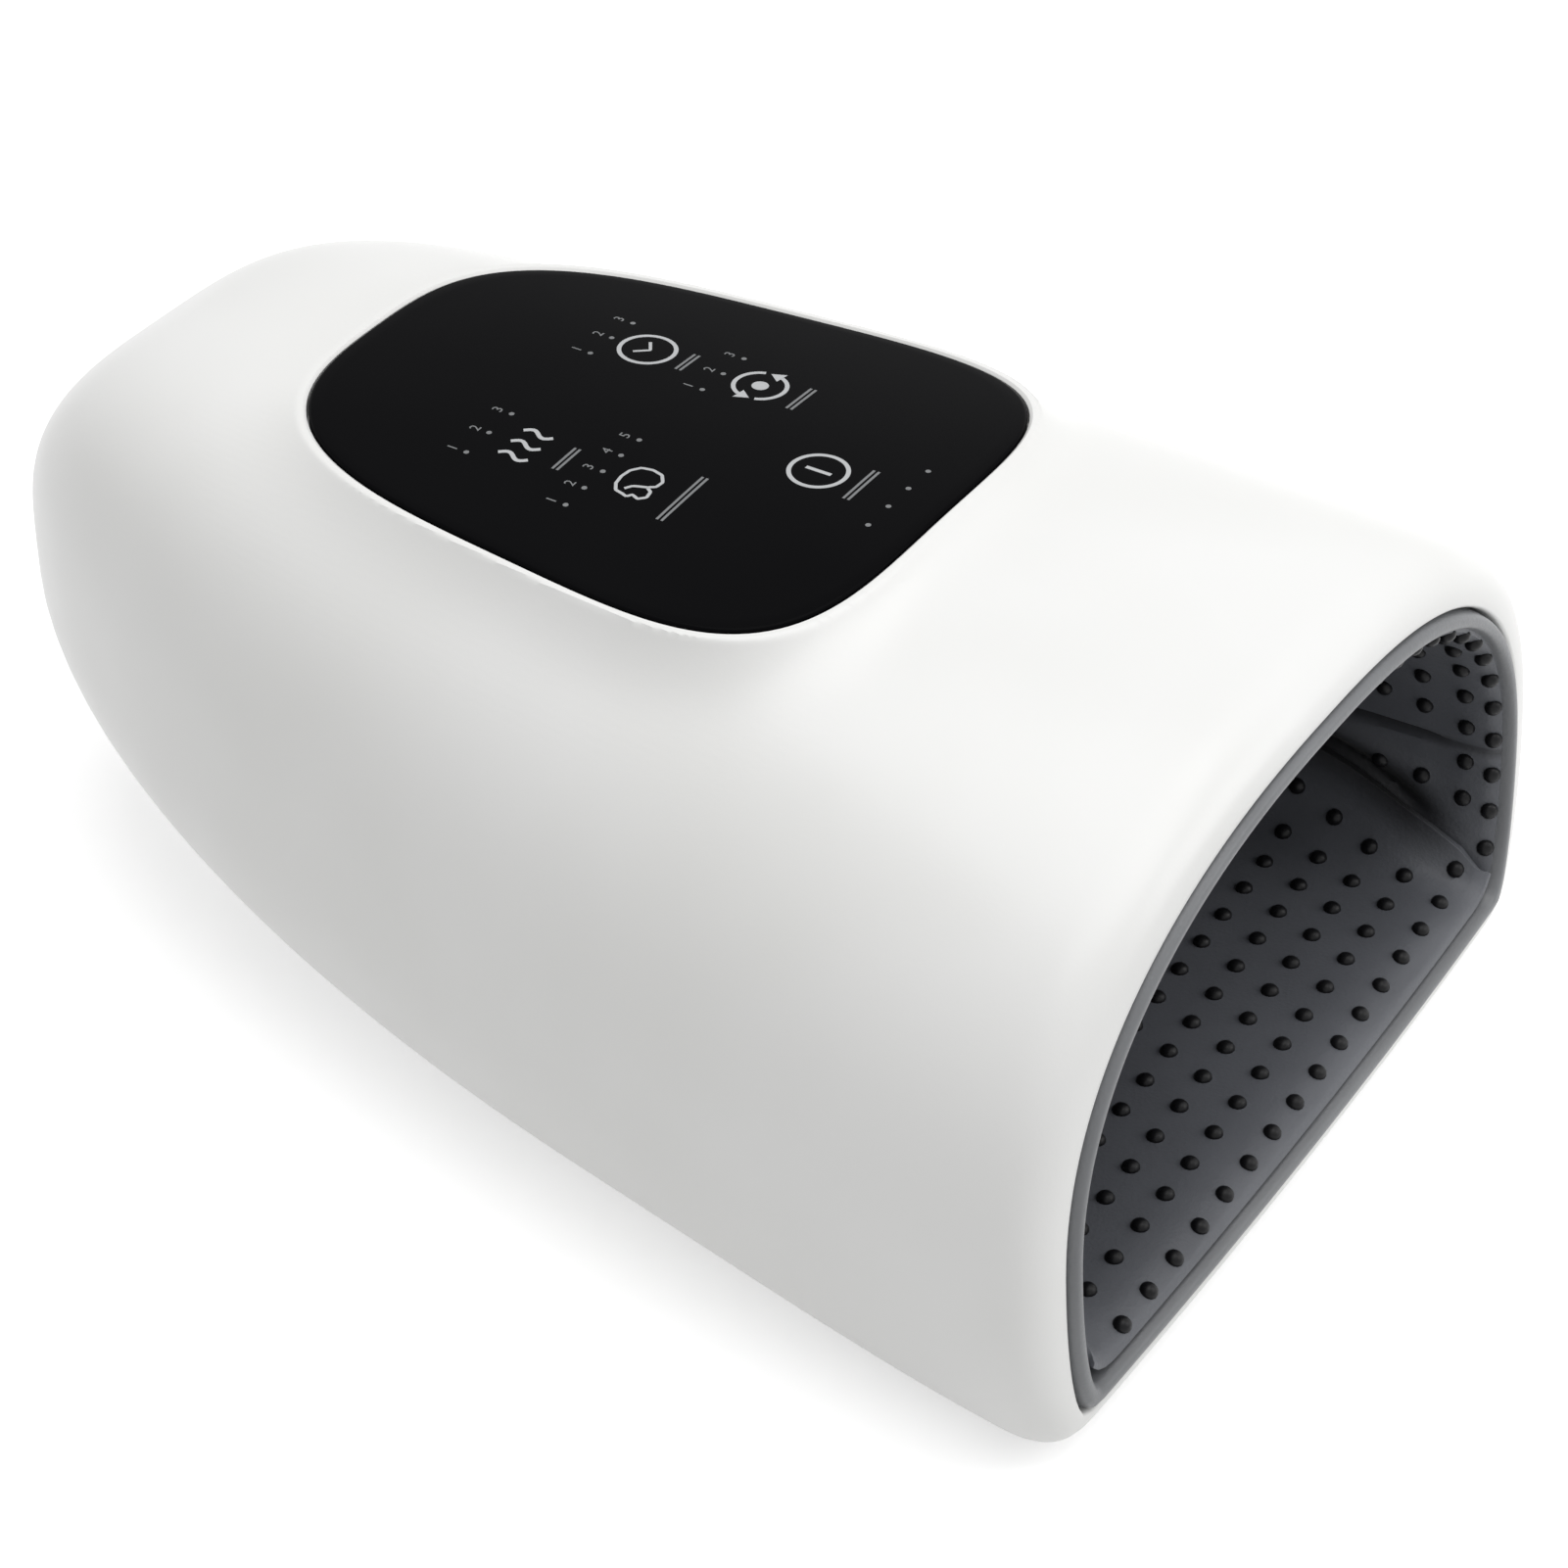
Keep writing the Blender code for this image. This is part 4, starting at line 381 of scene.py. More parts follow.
def shader_of(name, extras=()):
    """A new node material and its Principled shader, with some of its inputs set."""
    made = bpy.data.materials.new(name)
    made.use_nodes = True
    shader = made.node_tree.nodes["Principled BSDF"]
    for key, value in dict(extras).items():
        shader.inputs[key].default_value = value
    return made, shader


def node(tree, kind, inputs=(), **settings):
    """Add a node, set its properties, then set or link its inputs by name or place."""
    made = tree.nodes.new(kind)
    for key, value in settings.items():
        setattr(made, key, value)
    for key, value in dict(inputs).items():
        if isinstance(value, bpy.types.NodeSocket):
            tree.links.new(value, made.inputs[key])
        else:
            made.inputs[key].default_value = value
    return made


def grain_of(tree, scale, detail=4.0, roughness=0.55):
    """Noise in the piece's own space; the scale is in features per metre."""
    place = node(tree, "ShaderNodeTexCoord")
    settings = {"Vector": place.outputs["Object"], "Scale": scale, "Detail": detail, "Roughness": roughness}
    return node(tree, "ShaderNodeTexNoise", settings).outputs["Fac"]


def ramp_of(tree, value, low, high, colours):
    """Spread a value between two colours or greys."""
    made = node(tree, "ShaderNodeValToRGB", {"Fac": value})
    made.color_ramp.elements[0].position = low
    made.color_ramp.elements[1].position = high
    for stop, colour in zip(made.color_ramp.elements, colours):
        stop.color = (*colour, 1) if len(colour) == 3 else colour
    return made.outputs["Color"]


def moulded(name, dark, light, rough, rough_spread, grain_scale, grain_depth, extras=()):
    """A moulded or rolled finish: faint drift in colour and gloss, and a fine even grain."""
    made, shader = shader_of(name, extras)
    tree = made.node_tree
    colour = ramp_of(tree, grain_of(tree, 18, 2), 0.35, 0.65, (dark, light))
    tree.links.new(colour, shader.inputs["Base Color"])
    spread = node(tree, "ShaderNodeMapRange", {
        "Value": grain_of(tree, 60, 3), "From Min": 0.3, "From Max": 0.7,
        "To Min": rough - rough_spread, "To Max": rough + rough_spread,
    })
    tree.links.new(spread.outputs["Result"], shader.inputs["Roughness"])
    grain = grain_of(tree, grain_scale, 3)
    bump = node(tree, "ShaderNodeBump", {"Height": grain, "Strength": 0.25, "Distance": grain_depth})
    tree.links.new(bump.outputs["Normal"], shader.inputs["Normal"])
    return made


white_abs = moulded(
    "white_abs", (0.80, 0.80, 0.785), (0.835, 0.835, 0.825), 0.36, 0.03, 1400, 0.05 * MM,
    {"Specular IOR Level": 0.42, "Coat Weight": 0.12, "Coat Roughness": 0.22},
)

rows = [lip_row(0, LIP_RETURN), lip_row(0, LIP_RETURN / 2)]
edge_share = LIP_EDGE / (LIP_ROLL + LIP_EDGE)
for turn in np.linspace(0, math.pi / 2, 6):
    rows.append(lip_row(edge_share * (1 - math.cos(turn)), LIP_EDGE * (1 - math.sin(turn))))
for turn in np.linspace(math.pi / 2, 0, 24):
    outward = math.cos(turn) ** (2 / LIP_POWER)
    if outward > 1.5 * edge_share:
        rows.append(lip_row(outward, LIP_ROLL * (1 - math.sin(turn) ** (2 / LIP_POWER))))
first = math.asin((LIP_ROLL / CASING_LENGTH) ** (PLAN_POWER / 2))
for turn in np.linspace(first, math.pi / 2, BODY_ROWS)[1:]:
    rows.append(casing_row(min(math.sin(turn) ** (2 / PLAN_POWER), 1)))
inner = []
for turn in np.linspace(first, math.pi / 2 - WALL_END_TURN, WALL_ROWS):
    row = casing_row(math.sin(turn) ** (2 / PLAN_POWER), CASING_WALL)
    floor_of_seat = panel_level(row[:, 0]) - SEAT_DEPTH - SEAT_FLOOR
    under_panel = (panel_offset(row[:, 0], row[:, 1]) < FLARE_UNDER) & (row[:, 2] > TIP_WAIST)
    row[:, 2] = np.where(under_panel, np.minimum(row[:, 2], floor_of_seat), row[:, 2])
    inner.append(row)
bm = bmesh.new()
skin(bm, rows)


def outside_panel(verts):
    """How far outside the panel's outline each vertex lies."""
    places = np.array([vertex.co for vertex in verts])
    return panel_offset(places[:, 0], places[:, 1])


top = [vertex for vertex in bm.verts if vertex.co.z > TIP_WAIST]
near = {
    vertex for vertex, offset in zip(top, outside_panel(top))
    if -FLARE_MESH_INSIDE < offset < FLARE_WIDTH + FLARE_MESH_OUTSIDE
}
near_edges = {edge for vertex in near for edge in vertex.link_edges if edge.other_vert(vertex) in near}
bmesh.ops.subdivide_edges(bm, edges=list(near_edges), cuts=FLARE_MESH_CUTS, use_grid_fill=True)
top = [vertex for vertex in bm.verts if vertex.co.z > TIP_WAIST]
flare_shares = ((outside_panel(top) - FLARE_START) / FLARE_WIDTH).clip(0, 1)
for vertex, lift in zip(top, (1 - flare_shares) ** FLARE_POWER):
    vertex.co.z += (panel_level(vertex.co.x) - vertex.co.z) * lift
inner_rows = skin(bm, rows[:1] + inner)
bm.faces.new(inner_rows[-1])
casing = piece_from("casing_shell", bm)

bm = bmesh.new()
ringed(bm, [
    panel_ring(-SEAT_LEDGE, 4 * CUT_ROOM),
    panel_ring(-SEAT_LEDGE, SEAT_DEPTH),
    panel_ring(PANEL_GAP, SEAT_DEPTH),
    panel_ring(PANEL_GAP, RIM_CHAMFER),
    panel_ring(PANEL_GAP + 1.2 * RIM_CHAMFER, -0.2 * RIM_CHAMFER),
    panel_ring(PANEL_GAP + 1.2 * RIM_CHAMFER, -CUT_ROOM),
])
ringed(bm, [
    flat_ring(cover_outline(PANEL_GAP), -CUT_ROOM),
    flat_ring(cover_outline(PANEL_GAP), COVER_SEAT),
    flat_ring(cover_outline(-COVER_LEDGE), COVER_SEAT),
    flat_ring(cover_outline(-COVER_LEDGE), CUT_ROOM),
])
for place in FOOT_PLACES:
    outline = circle_round(place, FOOT_RADIUS + PANEL_GAP)
    ringed(bm, [flat_ring(outline, -CUT_ROOM), flat_ring(outline, FOOT_SEAT)])


def inlet_middle():
    """Where the inlet's own axis leaves the casing's side, and how far it turns from straight out."""
    def half_at(y):
        share = y / CASING_LENGTH
        waist = waist_level(share)
        rise = max(INLET_Z - waist, 0) / (crest(share) - waist)
        return plan_half(share) * max(1 - rise ** arch_power(share), 0) ** (1 / arch_power(share))

    turn = math.atan2(half_at(INLET_Y - CUT_ROOM) - half_at(INLET_Y + CUT_ROOM), 2 * CUT_ROOM)
    return half_at(INLET_Y), turn


def inlet_ring(width, thick, out):
    """A slot outline with round ends, square to the inlet's axis, at a distance out of the wall."""
    middle, turn = inlet_middle()
    radius = thick / 2
    ring = []
    for side in (1, -1):
        for angle in np.linspace(side * math.pi / 2, -side * math.pi / 2, 13):
            along = side * (width / 2 - radius + radius * math.cos(angle))
            ring.append((
                middle + out * math.cos(turn) - along * math.sin(turn),
                INLET_Y + out * math.sin(turn) + along * math.cos(turn),
                INLET_Z + radius * math.sin(angle),
            ))
    return ring


def widened(extra, out):
    """The inlet's outline, wider or narrower all round, at a distance out of the wall."""
    return inlet_ring(INLET_WIDTH + 2 * extra, INLET_THICK + 2 * extra, out)


pocket_floor = -CASING_WALL / 3
ringed(bm, [
    widened(PANEL_GAP, -2 * CUT_ROOM),
    widened(PANEL_GAP, pocket_floor),
    widened(POCKET_EDGE, pocket_floor),
    widened(1.5 * POCKET_EDGE, CUT_ROOM / 2),
])
cut_away(casing, piece_from("casing_cuts", bm))
give(casing, white_abs)
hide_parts("upper_shell")
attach(casing, "casing")

# TOUCH PANEL
# A polished black acrylic lens, slightly domed across, with a softened edge. It drops into the
# casing's seat on an adhesive frame and stands level with the rim.
PANEL_THICK = 2 * MM
PANEL_EDGE = 0.5 * MM

black_acrylic = moulded(
    "black_acrylic", (0.0025, 0.0025, 0.003), (0.0035, 0.0035, 0.004), 0.2, 0.03, 90, 0.004 * MM,
    {"Specular IOR Level": 0.014},
)
rings = [panel_ring(0, 0, share) for share in (0.02, 0.12, 0.3, 0.5, 0.7, 0.86, 0.95)]
for turn in np.linspace(math.pi / 2, 0, 5):
    rings.append(panel_ring(-PANEL_EDGE * (1 - math.cos(turn)), PANEL_EDGE * (1 - math.sin(turn))))
rings += [panel_ring(0, PANEL_THICK, share) for share in (1, 0.9, 0.4, 0.02)]
bm = bmesh.new()
ringed(bm, rings)
panel = piece_from("panel_lens", bm)
give(panel, black_acrylic)
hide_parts("touch_panel")
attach(panel, "casing")

# PANEL PRINT
# Pale grey marks printed on the lens: a round mark for each key, plain bars under them, small lamp
# windows with plain numbers, and a row of four charge windows. Each is a thin film on the dome.
PRINT_RISE = 0.03 * MM
PRINT_ROOT = 0.06 * MM
PRINT_STEP = 0.35 * MM
KEY_SPREAD = 15.9 * MM
KEY_PITCH = 20 * MM
KEY_MIDDLE = 105.4 * MM
RING_RADIUS = 4.3 * MM
STROKE = 0.68 * MM
FINE_STROKE = 0.5 * MM
WAVE_PITCH = 3.2 * MM
WAVE_SWING = 0.6 * MM
WAVE_HALF = 2.5 * MM
WAVE_TURNS = 1.1
ARROW_DRAW = 0.3 * MM
ARROW_SWEEP = 138
ARROW_HEAD_SWEEP = 30
ARROW_HEAD_HALF = 0.62
ARROW_DOT_RADIUS = 1.3 * MM
FIST_SCALE = 0.9
DOT_RADIUS = 0.42 * MM
DOT_GAP = 6.5 * MM
NUMBER_GAP = 8.9 * MM
NUMBER_HEIGHT = 1.7 * MM
NUMERAL_SHARE = 0.7
LAMP_PITCH = 5.7 * MM
CLOSE_LAMP_PITCH = 4.7 * MM
CHARGE_PITCH = 5.5 * MM
CHARGE_GAP = 13.3 * MM
BAR_GAP = 7.1 * MM
BAR_SHIFTS = (0.35 * MM, -0.45 * MM)
BAR_STROKE = 0.4 * MM


def on_dome(points, rise):
    """Lay points of the plan on the panel's face."""
    points = np.asarray(points)
    return np.column_stack([points, panel_level(points[:, 0]) + rise])


def print_stroke(bm, points, width, closed=False):
    """A printed line of even width along a run of points, in steps short enough to follow the dome."""
    points = np.asarray(points, float)
    if closed:
        points = np.vstack([points, points[:1]])
    length = np.linalg.norm(np.diff(points, axis=0), axis=1).sum()
    points = even_run(points, max(int(length / PRINT_STEP), 2) + 1)
    if closed:
        points = points[:-1]
        ahead, behind = np.roll(points, -1, axis=0), np.roll(points, 1, axis=0)
    else:
        ahead = np.vstack([points[1:], 2 * points[-1] - points[-2]])
        behind = np.vstack([2 * points[0] - points[1], points[:-1]])
    way = ahead - behind
    way /= np.linalg.norm(way, axis=1)[:, None]
    side = np.column_stack([-way[:, 1], way[:, 0]]) * width / 2
    ends = [on_dome(points - side, PRINT_RISE), on_dome(points + side, PRINT_RISE)]
    ends += [on_dome(points + side, -PRINT_ROOT), on_dome(points - side, -PRINT_ROOT)]
    loops = [[ends[k][i] for k in range(4)] for i in range(len(points))]
    if closed:
        loops.append(loops[0])
    made = skin(bm, loops)
    if not closed:
        bm.faces.new(made[0])
        bm.faces.new(made[-1])


def print_flat(bm, outline):
    """A printed patch that fills an outline."""
    ringed(bm, [on_dome(outline, PRINT_RISE), on_dome(outline, -PRINT_ROOT)])


def print_disc(bm, middle, radius):
    """A printed round dot."""
    print_flat(bm, circle_round(middle, radius, 20))


def arc(middle, radius, start, end, count=40):
    """A run of points along part of a circle; angles in degrees from +X."""
    turns = np.radians(np.linspace(start, end, count))
    return np.array(middle) + radius * np.column_stack([np.cos(turns), np.sin(turns)])


def print_ring(bm, middle, radius, width):
    print_stroke(bm, arc(middle, radius, 0, 360, 65)[:-1], width, True)


def print_number(bm, text, middle, height):
    """A plain numeral, from Blender's own font, laid on the dome."""
    curve = bpy.data.curves.new("numeral", "FONT")
    curve.body = text
    curve.size = height / NUMERAL_SHARE
    curve.align_x = "CENTER"
    curve.align_y = "CENTER"
    curve.resolution_u = 2
    curve.extrude = (PRINT_RISE + PRINT_ROOT) / 2
    carrier = linked("numeral", curve)
    graph = bpy.context.evaluated_depsgraph_get()
    mesh = bpy.data.meshes.new_from_object(carrier.evaluated_get(graph))
    shift = (PRINT_RISE - PRINT_ROOT) / 2
    for vertex in mesh.vertices:
        x, y = vertex.co.x + middle[0], vertex.co.y + middle[1]
        vertex.co = (x, y, panel_level(x) + vertex.co.z + shift)
    bm.from_mesh(mesh)
    bpy.data.objects.remove(carrier, do_unlink=True)


heat = (-KEY_SPREAD, KEY_MIDDLE + KEY_PITCH)
timer = (KEY_SPREAD, KEY_MIDDLE + KEY_PITCH)
strength = (-KEY_SPREAD, KEY_MIDDLE)
mode = (KEY_SPREAD, KEY_MIDDLE)
power = (0, KEY_MIDDLE - KEY_PITCH)

bright = bmesh.new()
print_ring(bright, timer, RING_RADIUS, STROKE)
hands = [(-1.7 * MM, 1.5 * MM), (0, -0.5 * MM), (2.1 * MM, 0.9 * MM)]
print_stroke(bright, np.array(hands) + timer, FINE_STROKE)
print_ring(bright, power, RING_RADIUS, STROKE)
bar = [(0, 2.1 * MM), (0, -2.1 * MM)]
print_stroke(bright, np.array(bar) + power, STROKE)
for shift in (-WAVE_PITCH, 0, WAVE_PITCH):
    run = np.linspace(-1, 1, 30)
    wave = np.column_stack([shift + WAVE_SWING * np.sin(run * math.pi * WAVE_TURNS), run * WAVE_HALF])
    print_stroke(bright, wave + np.array(heat), STROKE)
for start in (20, 200):
    end = start + ARROW_SWEEP
    print_stroke(bright, arc(mode, RING_RADIUS - ARROW_DRAW, start, end), STROKE)
    tip = arc(mode, RING_RADIUS - ARROW_DRAW, end, end + ARROW_HEAD_SWEEP, 2)
    way = tip[1] - tip[0]
    side = np.array([-way[1], way[0]]) * ARROW_HEAD_HALF
    print_flat(bright, [tip[0] + side, tip[0] - side, tip[1]])
print_disc(bright, mode, ARROW_DOT_RADIUS)
fist = [
    (-3.6, 1.0), (-3.2, 2.6), (-1.6, 3.6), (0.4, 3.9), (2.4, 3.6), (3.9, 2.4), (4.3, 0.4), (3.8, -1.6),
    (2.2, -2.8), (0.6, -2.6), (-0.2, -1.4), (-1.0, -2.6), (-2.6, -2.9), (-3.6, -1.8), (-3.0, -0.5),
    (-3.9, 0.1),
]
thumb = [(-2.2, 1.6), (-1.0, 0.8), (-0.2, -1.4)]
print_stroke(bright, np.array(fist) * MM * FIST_SCALE + strength, FINE_STROKE, True)
print_stroke(bright, np.array(thumb) * MM * FIST_SCALE + strength, FINE_STROKE)
faint = bmesh.new()
for key, lamps, pitch in (
    (heat, 3, LAMP_PITCH), (timer, 3, LAMP_PITCH), (mode, 3, LAMP_PITCH), (strength, 5, CLOSE_LAMP_PITCH),
):
    for k in range(lamps):
        x = key[0] + (k - (lamps - 1) / 2) * pitch
        print_disc(faint, (x, key[1] + DOT_GAP), DOT_RADIUS)
        print_number(faint, str(k + 1), (x, key[1] + NUMBER_GAP), NUMBER_HEIGHT)
for key, length in (
    (heat, 6 * MM), (timer, 5.4 * MM), (mode, 7 * MM), (strength, 12 * MM), (power, 8.6 * MM),
):
    for shift in BAR_SHIFTS:
        y = key[1] - BAR_GAP + shift
        print_stroke(faint, [(key[0] - length / 2, y), (key[0] + length / 2, y)], BAR_STROKE)
for k in range(4):
    print_disc(faint, ((k - 1.5) * CHARGE_PITCH, power[1] - CHARGE_GAP), DOT_RADIUS)

pale_ink = moulded("pale_ink", (0.42, 0.43, 0.44), (0.5, 0.51, 0.52), 0.5, 0.05, 2500, 0.01 * MM)
faint_ink = moulded("faint_ink", (0.14, 0.145, 0.15), (0.2, 0.205, 0.21), 0.5, 0.05, 2500, 0.01 * MM)
key_marks = piece_from("key_marks", bright)
give(key_marks, pale_ink)
lamp_marks = piece_from("lamp_marks", faint)
give(lamp_marks, faint_ink)
for marks in (key_marks, lamp_marks):
    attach(marks, "casing")

# LINING OF THE HAND TUNNEL
# Dark grey synthetic leather over thin foam, glued to the inner frame's sides, roof and finger end.
# It opens out to the welt at the front. A drawn seam runs along each side, and a fold where the
# floor pad's side edges meet it. Shade is painted into the hide's colour there: near black in the
# fold and dark in the seam.
TUNNEL_START = 8.6 * MM
FRONT_START = 0.9 * MM
FRONT_FLARE = 1.5 * MM
FRONT_THICK = 0.6 * MM
TUNNEL_END = 176 * MM
TUNNEL_PLAN_POWER = 2.3
TUNNEL_PLAN_ROUND = 2.2
TUNNEL_ROOF = 68 * MM
ROOF_LEVEL_AT = 50 * MM
FALL_START = 110 * MM
FALL_POWER = 2.2
TUNNEL_TIP_TOP = 34 * MM
TUNNEL_TIP_WAIST = 24 * MM
TUNNEL_TUCK = 16 * MM
TUCK_RUN = 14 * MM
FINGER_RISE = 9 * MM
PAD_START = 0.3 * MM
CURL_LEAST = 0.22
CURL_START = 0.42
CURL_ENTRY = 7 * MM
CURL_GROWTH = 0.46
CURL_RUN = 36 * MM
LINING_OUT = 2.6 * MM
LINING_THICK = 2.5 * MM
LINING_FOOT = 6.7 * MM
SEAM_LEVEL = 33 * MM
SEAM_FALL = 9 * MM
SEAM_HALF = 0.75 * MM
SEAM_DEPTH = 1.9 * MM
SEAM_PUFF = 1.7 * MM
SEAM_PUFF_HALF = 2.2 * MM
SEAM_PUFF_SHARE = 0.45
UNEVEN_DEPTH = 0.25 * MM
UNEVEN_ALONG = 9 * MM
UNEVEN_UP = 13 * MM
FOLD_DEPTH = 1.4 * MM
FOLD_HALF = 1.7 * MM
# Painted shade: these set where the lining's colour is darkened in the fold over the floor pad and in the
# side seam, where shade falls.
CREASE_SHADE_START = 3 * MM
CREASE_SHADE_RUN = 15 * MM
CREASE_SHADE_HALF = 1.8 * MM
CREASE_SHADE_SPREAD = 2.2 * MM
SEAM_PAINTED_SHADE = 0.7
FRONT_EASE = 0.24
EASE_RUN = 6 * MM
FRONT_ROWS = 8
FINE_UNTIL = 52 * MM
FINE_ROWS = 34
DEEP_ROWS = 52
LINING_ARCH_POINTS = 300
CORNER_POINTS = 40
# Painted shade: the near black colour painted into the fold and the seam.
PAINTED_CREASE_SHADE = (0.004, 0.004, 0.005, 1)
ROOF_FRONT = 52 * MM
ROOF_BACK = 136 * MM
ROOF_HALF_ANGLE = math.radians(50)
ROOF_HOLE_DRAW = 3 * MM
ROOF_HOLE_REACH = 11.1 * MM


def tunnel_tuck(y):
    """The tunnel's lower corners are tight at the mouth, like the mouth's own, and open up behind it."""
    return MOUTH_TUCK + (TUNNEL_TUCK - MOUTH_TUCK) * smooth_step(y / TUCK_RUN)


def tunnel_half(y, inset):
    """Half the tunnel's width at a length."""
    share = min(max(y / (TUNNEL_END - inset), 0), 1)
    return (MOUTH_WIDTH / 2 - inset) * max(1 - share ** TUNNEL_PLAN_POWER, 0) ** (1 / TUNNEL_PLAN_ROUND)


def tunnel_top(y, inset):
    """The tunnel's roof drops from the mouth to its own level, then falls towards the fingers."""
    entry = smooth_step((y - TUNNEL_START) / (ROOF_LEVEL_AT - TUNNEL_START))
    level = MOUTH_TOP + (TUNNEL_ROOF - MOUTH_TOP) * entry
    fall = min(max((y - FALL_START) / (TUNNEL_END - inset - FALL_START), 0), 1)
    return TUNNEL_TIP_TOP + (level - TUNNEL_TIP_TOP) * max(1 - fall ** FALL_POWER, 0) ** 0.5 - inset


def tunnel_waist(y):
    """The height of the tunnel's widest line."""
    return MOUTH_WAIST + (TUNNEL_TIP_WAIST - MOUTH_WAIST) * smooth_step(y / TUNNEL_END)


def finger_rise(y):
    """How far the tunnel's floor has risen towards the fingers."""
    return FINGER_RISE * smooth_step((y - FALL_START) / (TUNNEL_END - FALL_START))


def tunnel_section(y, inset, sides, corners):
    """Points round the tunnel at a length, from the right foot over the arch to the left foot."""
    half = tunnel_half(y, inset)
    waist = tunnel_waist(y)
    foot = LINING_FOOT + finger_rise(y)
    tuck = tunnel_tuck(y) * half / (MOUTH_WIDTH / 2)
    corner_x, corner_z = corner_of(half, foot, waist, tuck, np.linspace(math.pi / 2, 0, 60))
    turn = math.pi / 2 * smooth_step(np.linspace(0, 1, 400))
    arch_x, arch_z = arch_of(half, waist, tunnel_top(y, inset), MOUTH_POWER, turn)
    low_run = even_run(leaned(corner_x, corner_z, y), corners + 1)
    arch_run = even_run(leaned(arch_x, arch_z, y), sides // 2 + 1)
    right = np.concatenate([low_run, arch_run[1:]])
    left = right[-2::-1].copy()
    left[:, 0] *= -1
    return np.concatenate([right, left])


def tunnel_lengths(start, end, count):
    """Lengths along the tunnel, closer together towards its rounded end."""
    turns = np.linspace(0, math.pi / 2, count)
    return start + (end - start) * np.minimum(np.sin(turns) ** (2 / TUNNEL_PLAN_POWER), 1)


def seam_height(y):
    """The side seam starts high at the mouth and falls away towards the fingers."""
    return SEAM_LEVEL - SEAM_FALL * smooth_step((y - TUNNEL_START) / (TUNNEL_END - TUNNEL_START))


def pad_edge_height(y):
    """The floor pad's side edges climb the tunnel's corners as the tunnel narrows round it."""
    share = CURL_LEAST + (CURL_START - CURL_LEAST) * smooth_step((y - PAD_START) / CURL_ENTRY)
    share += CURL_GROWTH * smooth_step(y / CURL_RUN)
    foot = LINING_FOOT + finger_rise(y)
    return foot + (tunnel_waist(y) - foot) * share


def front_draw(y):
    """How far the lining's face opens out towards the welt at its front."""
    near = min(max(1 - (y - FRONT_START) / (TUNNEL_START - FRONT_START), 0), 1)
    return FRONT_FLARE * (1 - math.sqrt(1 - near * near))


def lining_lengths(inset):
    """Lengths of the lining's rows, closer together at the front, where its seam and fold start."""
    front = np.linspace(FRONT_START, TUNNEL_START - 0.1 * MM, FRONT_ROWS)
    fine = np.linspace(TUNNEL_START, FINE_UNTIL, FINE_ROWS)
    return [*front, *fine[:-1], *tunnel_lengths(FINE_UNTIL, TUNNEL_END - inset, DEEP_ROWS)]


def worked_depth(y, row):
    """How far the points of a row of the lining's face are drawn back by its seams and its fold."""
    def near(level, half):
        return np.exp(-((row[:, 2] - level) / half) ** 2)

    seam, edge = seam_height(y), pad_edge_height(y)
    puff = SEAM_PUFF * smooth_step(y / CURL_RUN)
    fold = FOLD_DEPTH * smooth_step(y / (CURL_RUN / 2))
    depth = near(seam, SEAM_HALF) * SEAM_DEPTH
    depth -= near(SEAM_PUFF_SHARE * seam + (1 - SEAM_PUFF_SHARE) * edge, SEAM_PUFF_HALF) * puff
    depth += near(edge, FOLD_HALF) * fold
    depth += UNEVEN_DEPTH * np.sin(row[:, 1] / UNEVEN_ALONG + row[:, 2] / UNEVEN_UP)
    return depth * (FRONT_EASE + (1 - FRONT_EASE) * smooth_step((y - TUNNEL_START) / EASE_RUN))


def lining_rows(inset, worked):
    """Rows of the lining; the worked face has its seams drawn in and a soft unevenness."""
    made = []
    for y in lining_lengths(inset):
        level = inset
        if y < TUNNEL_START:
            level = LINING_OUT + LINING_THICK - front_draw(y) - (0 if worked else FRONT_THICK)
        row = tunnel_section(y, level, LINING_ARCH_POINTS, CORNER_POINTS)
        if worked:
            depth = worked_depth(y, row)
            reach = np.hypot(row[:, 0], row[:, 2] - MOUTH_WAIST) + 1 * MM
            row[:, 0] += depth * row[:, 0] / reach
            row[:, 2] += depth * (row[:, 2] - MOUTH_WAIST) / reach
        made.append(row)
    return made


def soft_hide(name, dark, light, rough, grain_scale, grain_depth, extras=()):
    """Synthetic leather: a fine pebble grain, a slow drift in tone, and a satin gloss."""
    made, shader = shader_of(name, extras)
    tree = made.node_tree
    colour = ramp_of(tree, grain_of(tree, 35, 3), 0.3, 0.7, (dark, light))
    tree.links.new(colour, shader.inputs["Base Color"])
    place = node(tree, "ShaderNodeTexCoord")
    pebble = node(tree, "ShaderNodeTexVoronoi", {"Vector": place.outputs["Object"], "Scale": grain_scale})
    fine = grain_of(tree, grain_scale * 2.5, 3)
    height = node(tree, "ShaderNodeMath", {0: pebble.outputs["Distance"], 1: fine}, operation="ADD")
    bump = node(tree, "ShaderNodeBump", {
        "Height": height.outputs[0], "Strength": 0.5, "Distance": grain_depth,
    })
    tree.links.new(bump.outputs["Normal"], shader.inputs["Normal"])
    shine = node(tree, "ShaderNodeMapRange", {
        "Value": fine, "From Min": 0.3, "From Max": 0.7,
        "To Min": rough - 0.06, "To Max": rough + 0.06,
    })
    tree.links.new(shine.outputs["Result"], shader.inputs["Roughness"])
    return made, shader


def paint_crease_shade(made, shader, dark):
    """Paint shade into the hide's colour: it turns towards near black where the piece's painted shade
    attribute says so.
    """
    tree = made.node_tree
    plain = shader.inputs["Base Color"].links[0].from_socket
    crease_shade = node(tree, "ShaderNodeAttribute", attribute_name="crease_shade")
    mixed = node(tree, "ShaderNodeMix", {0: crease_shade.outputs["Fac"], 6: plain, 7: dark}, data_type="RGBA")
    tree.links.new(mixed.outputs[2], shader.inputs["Base Color"])


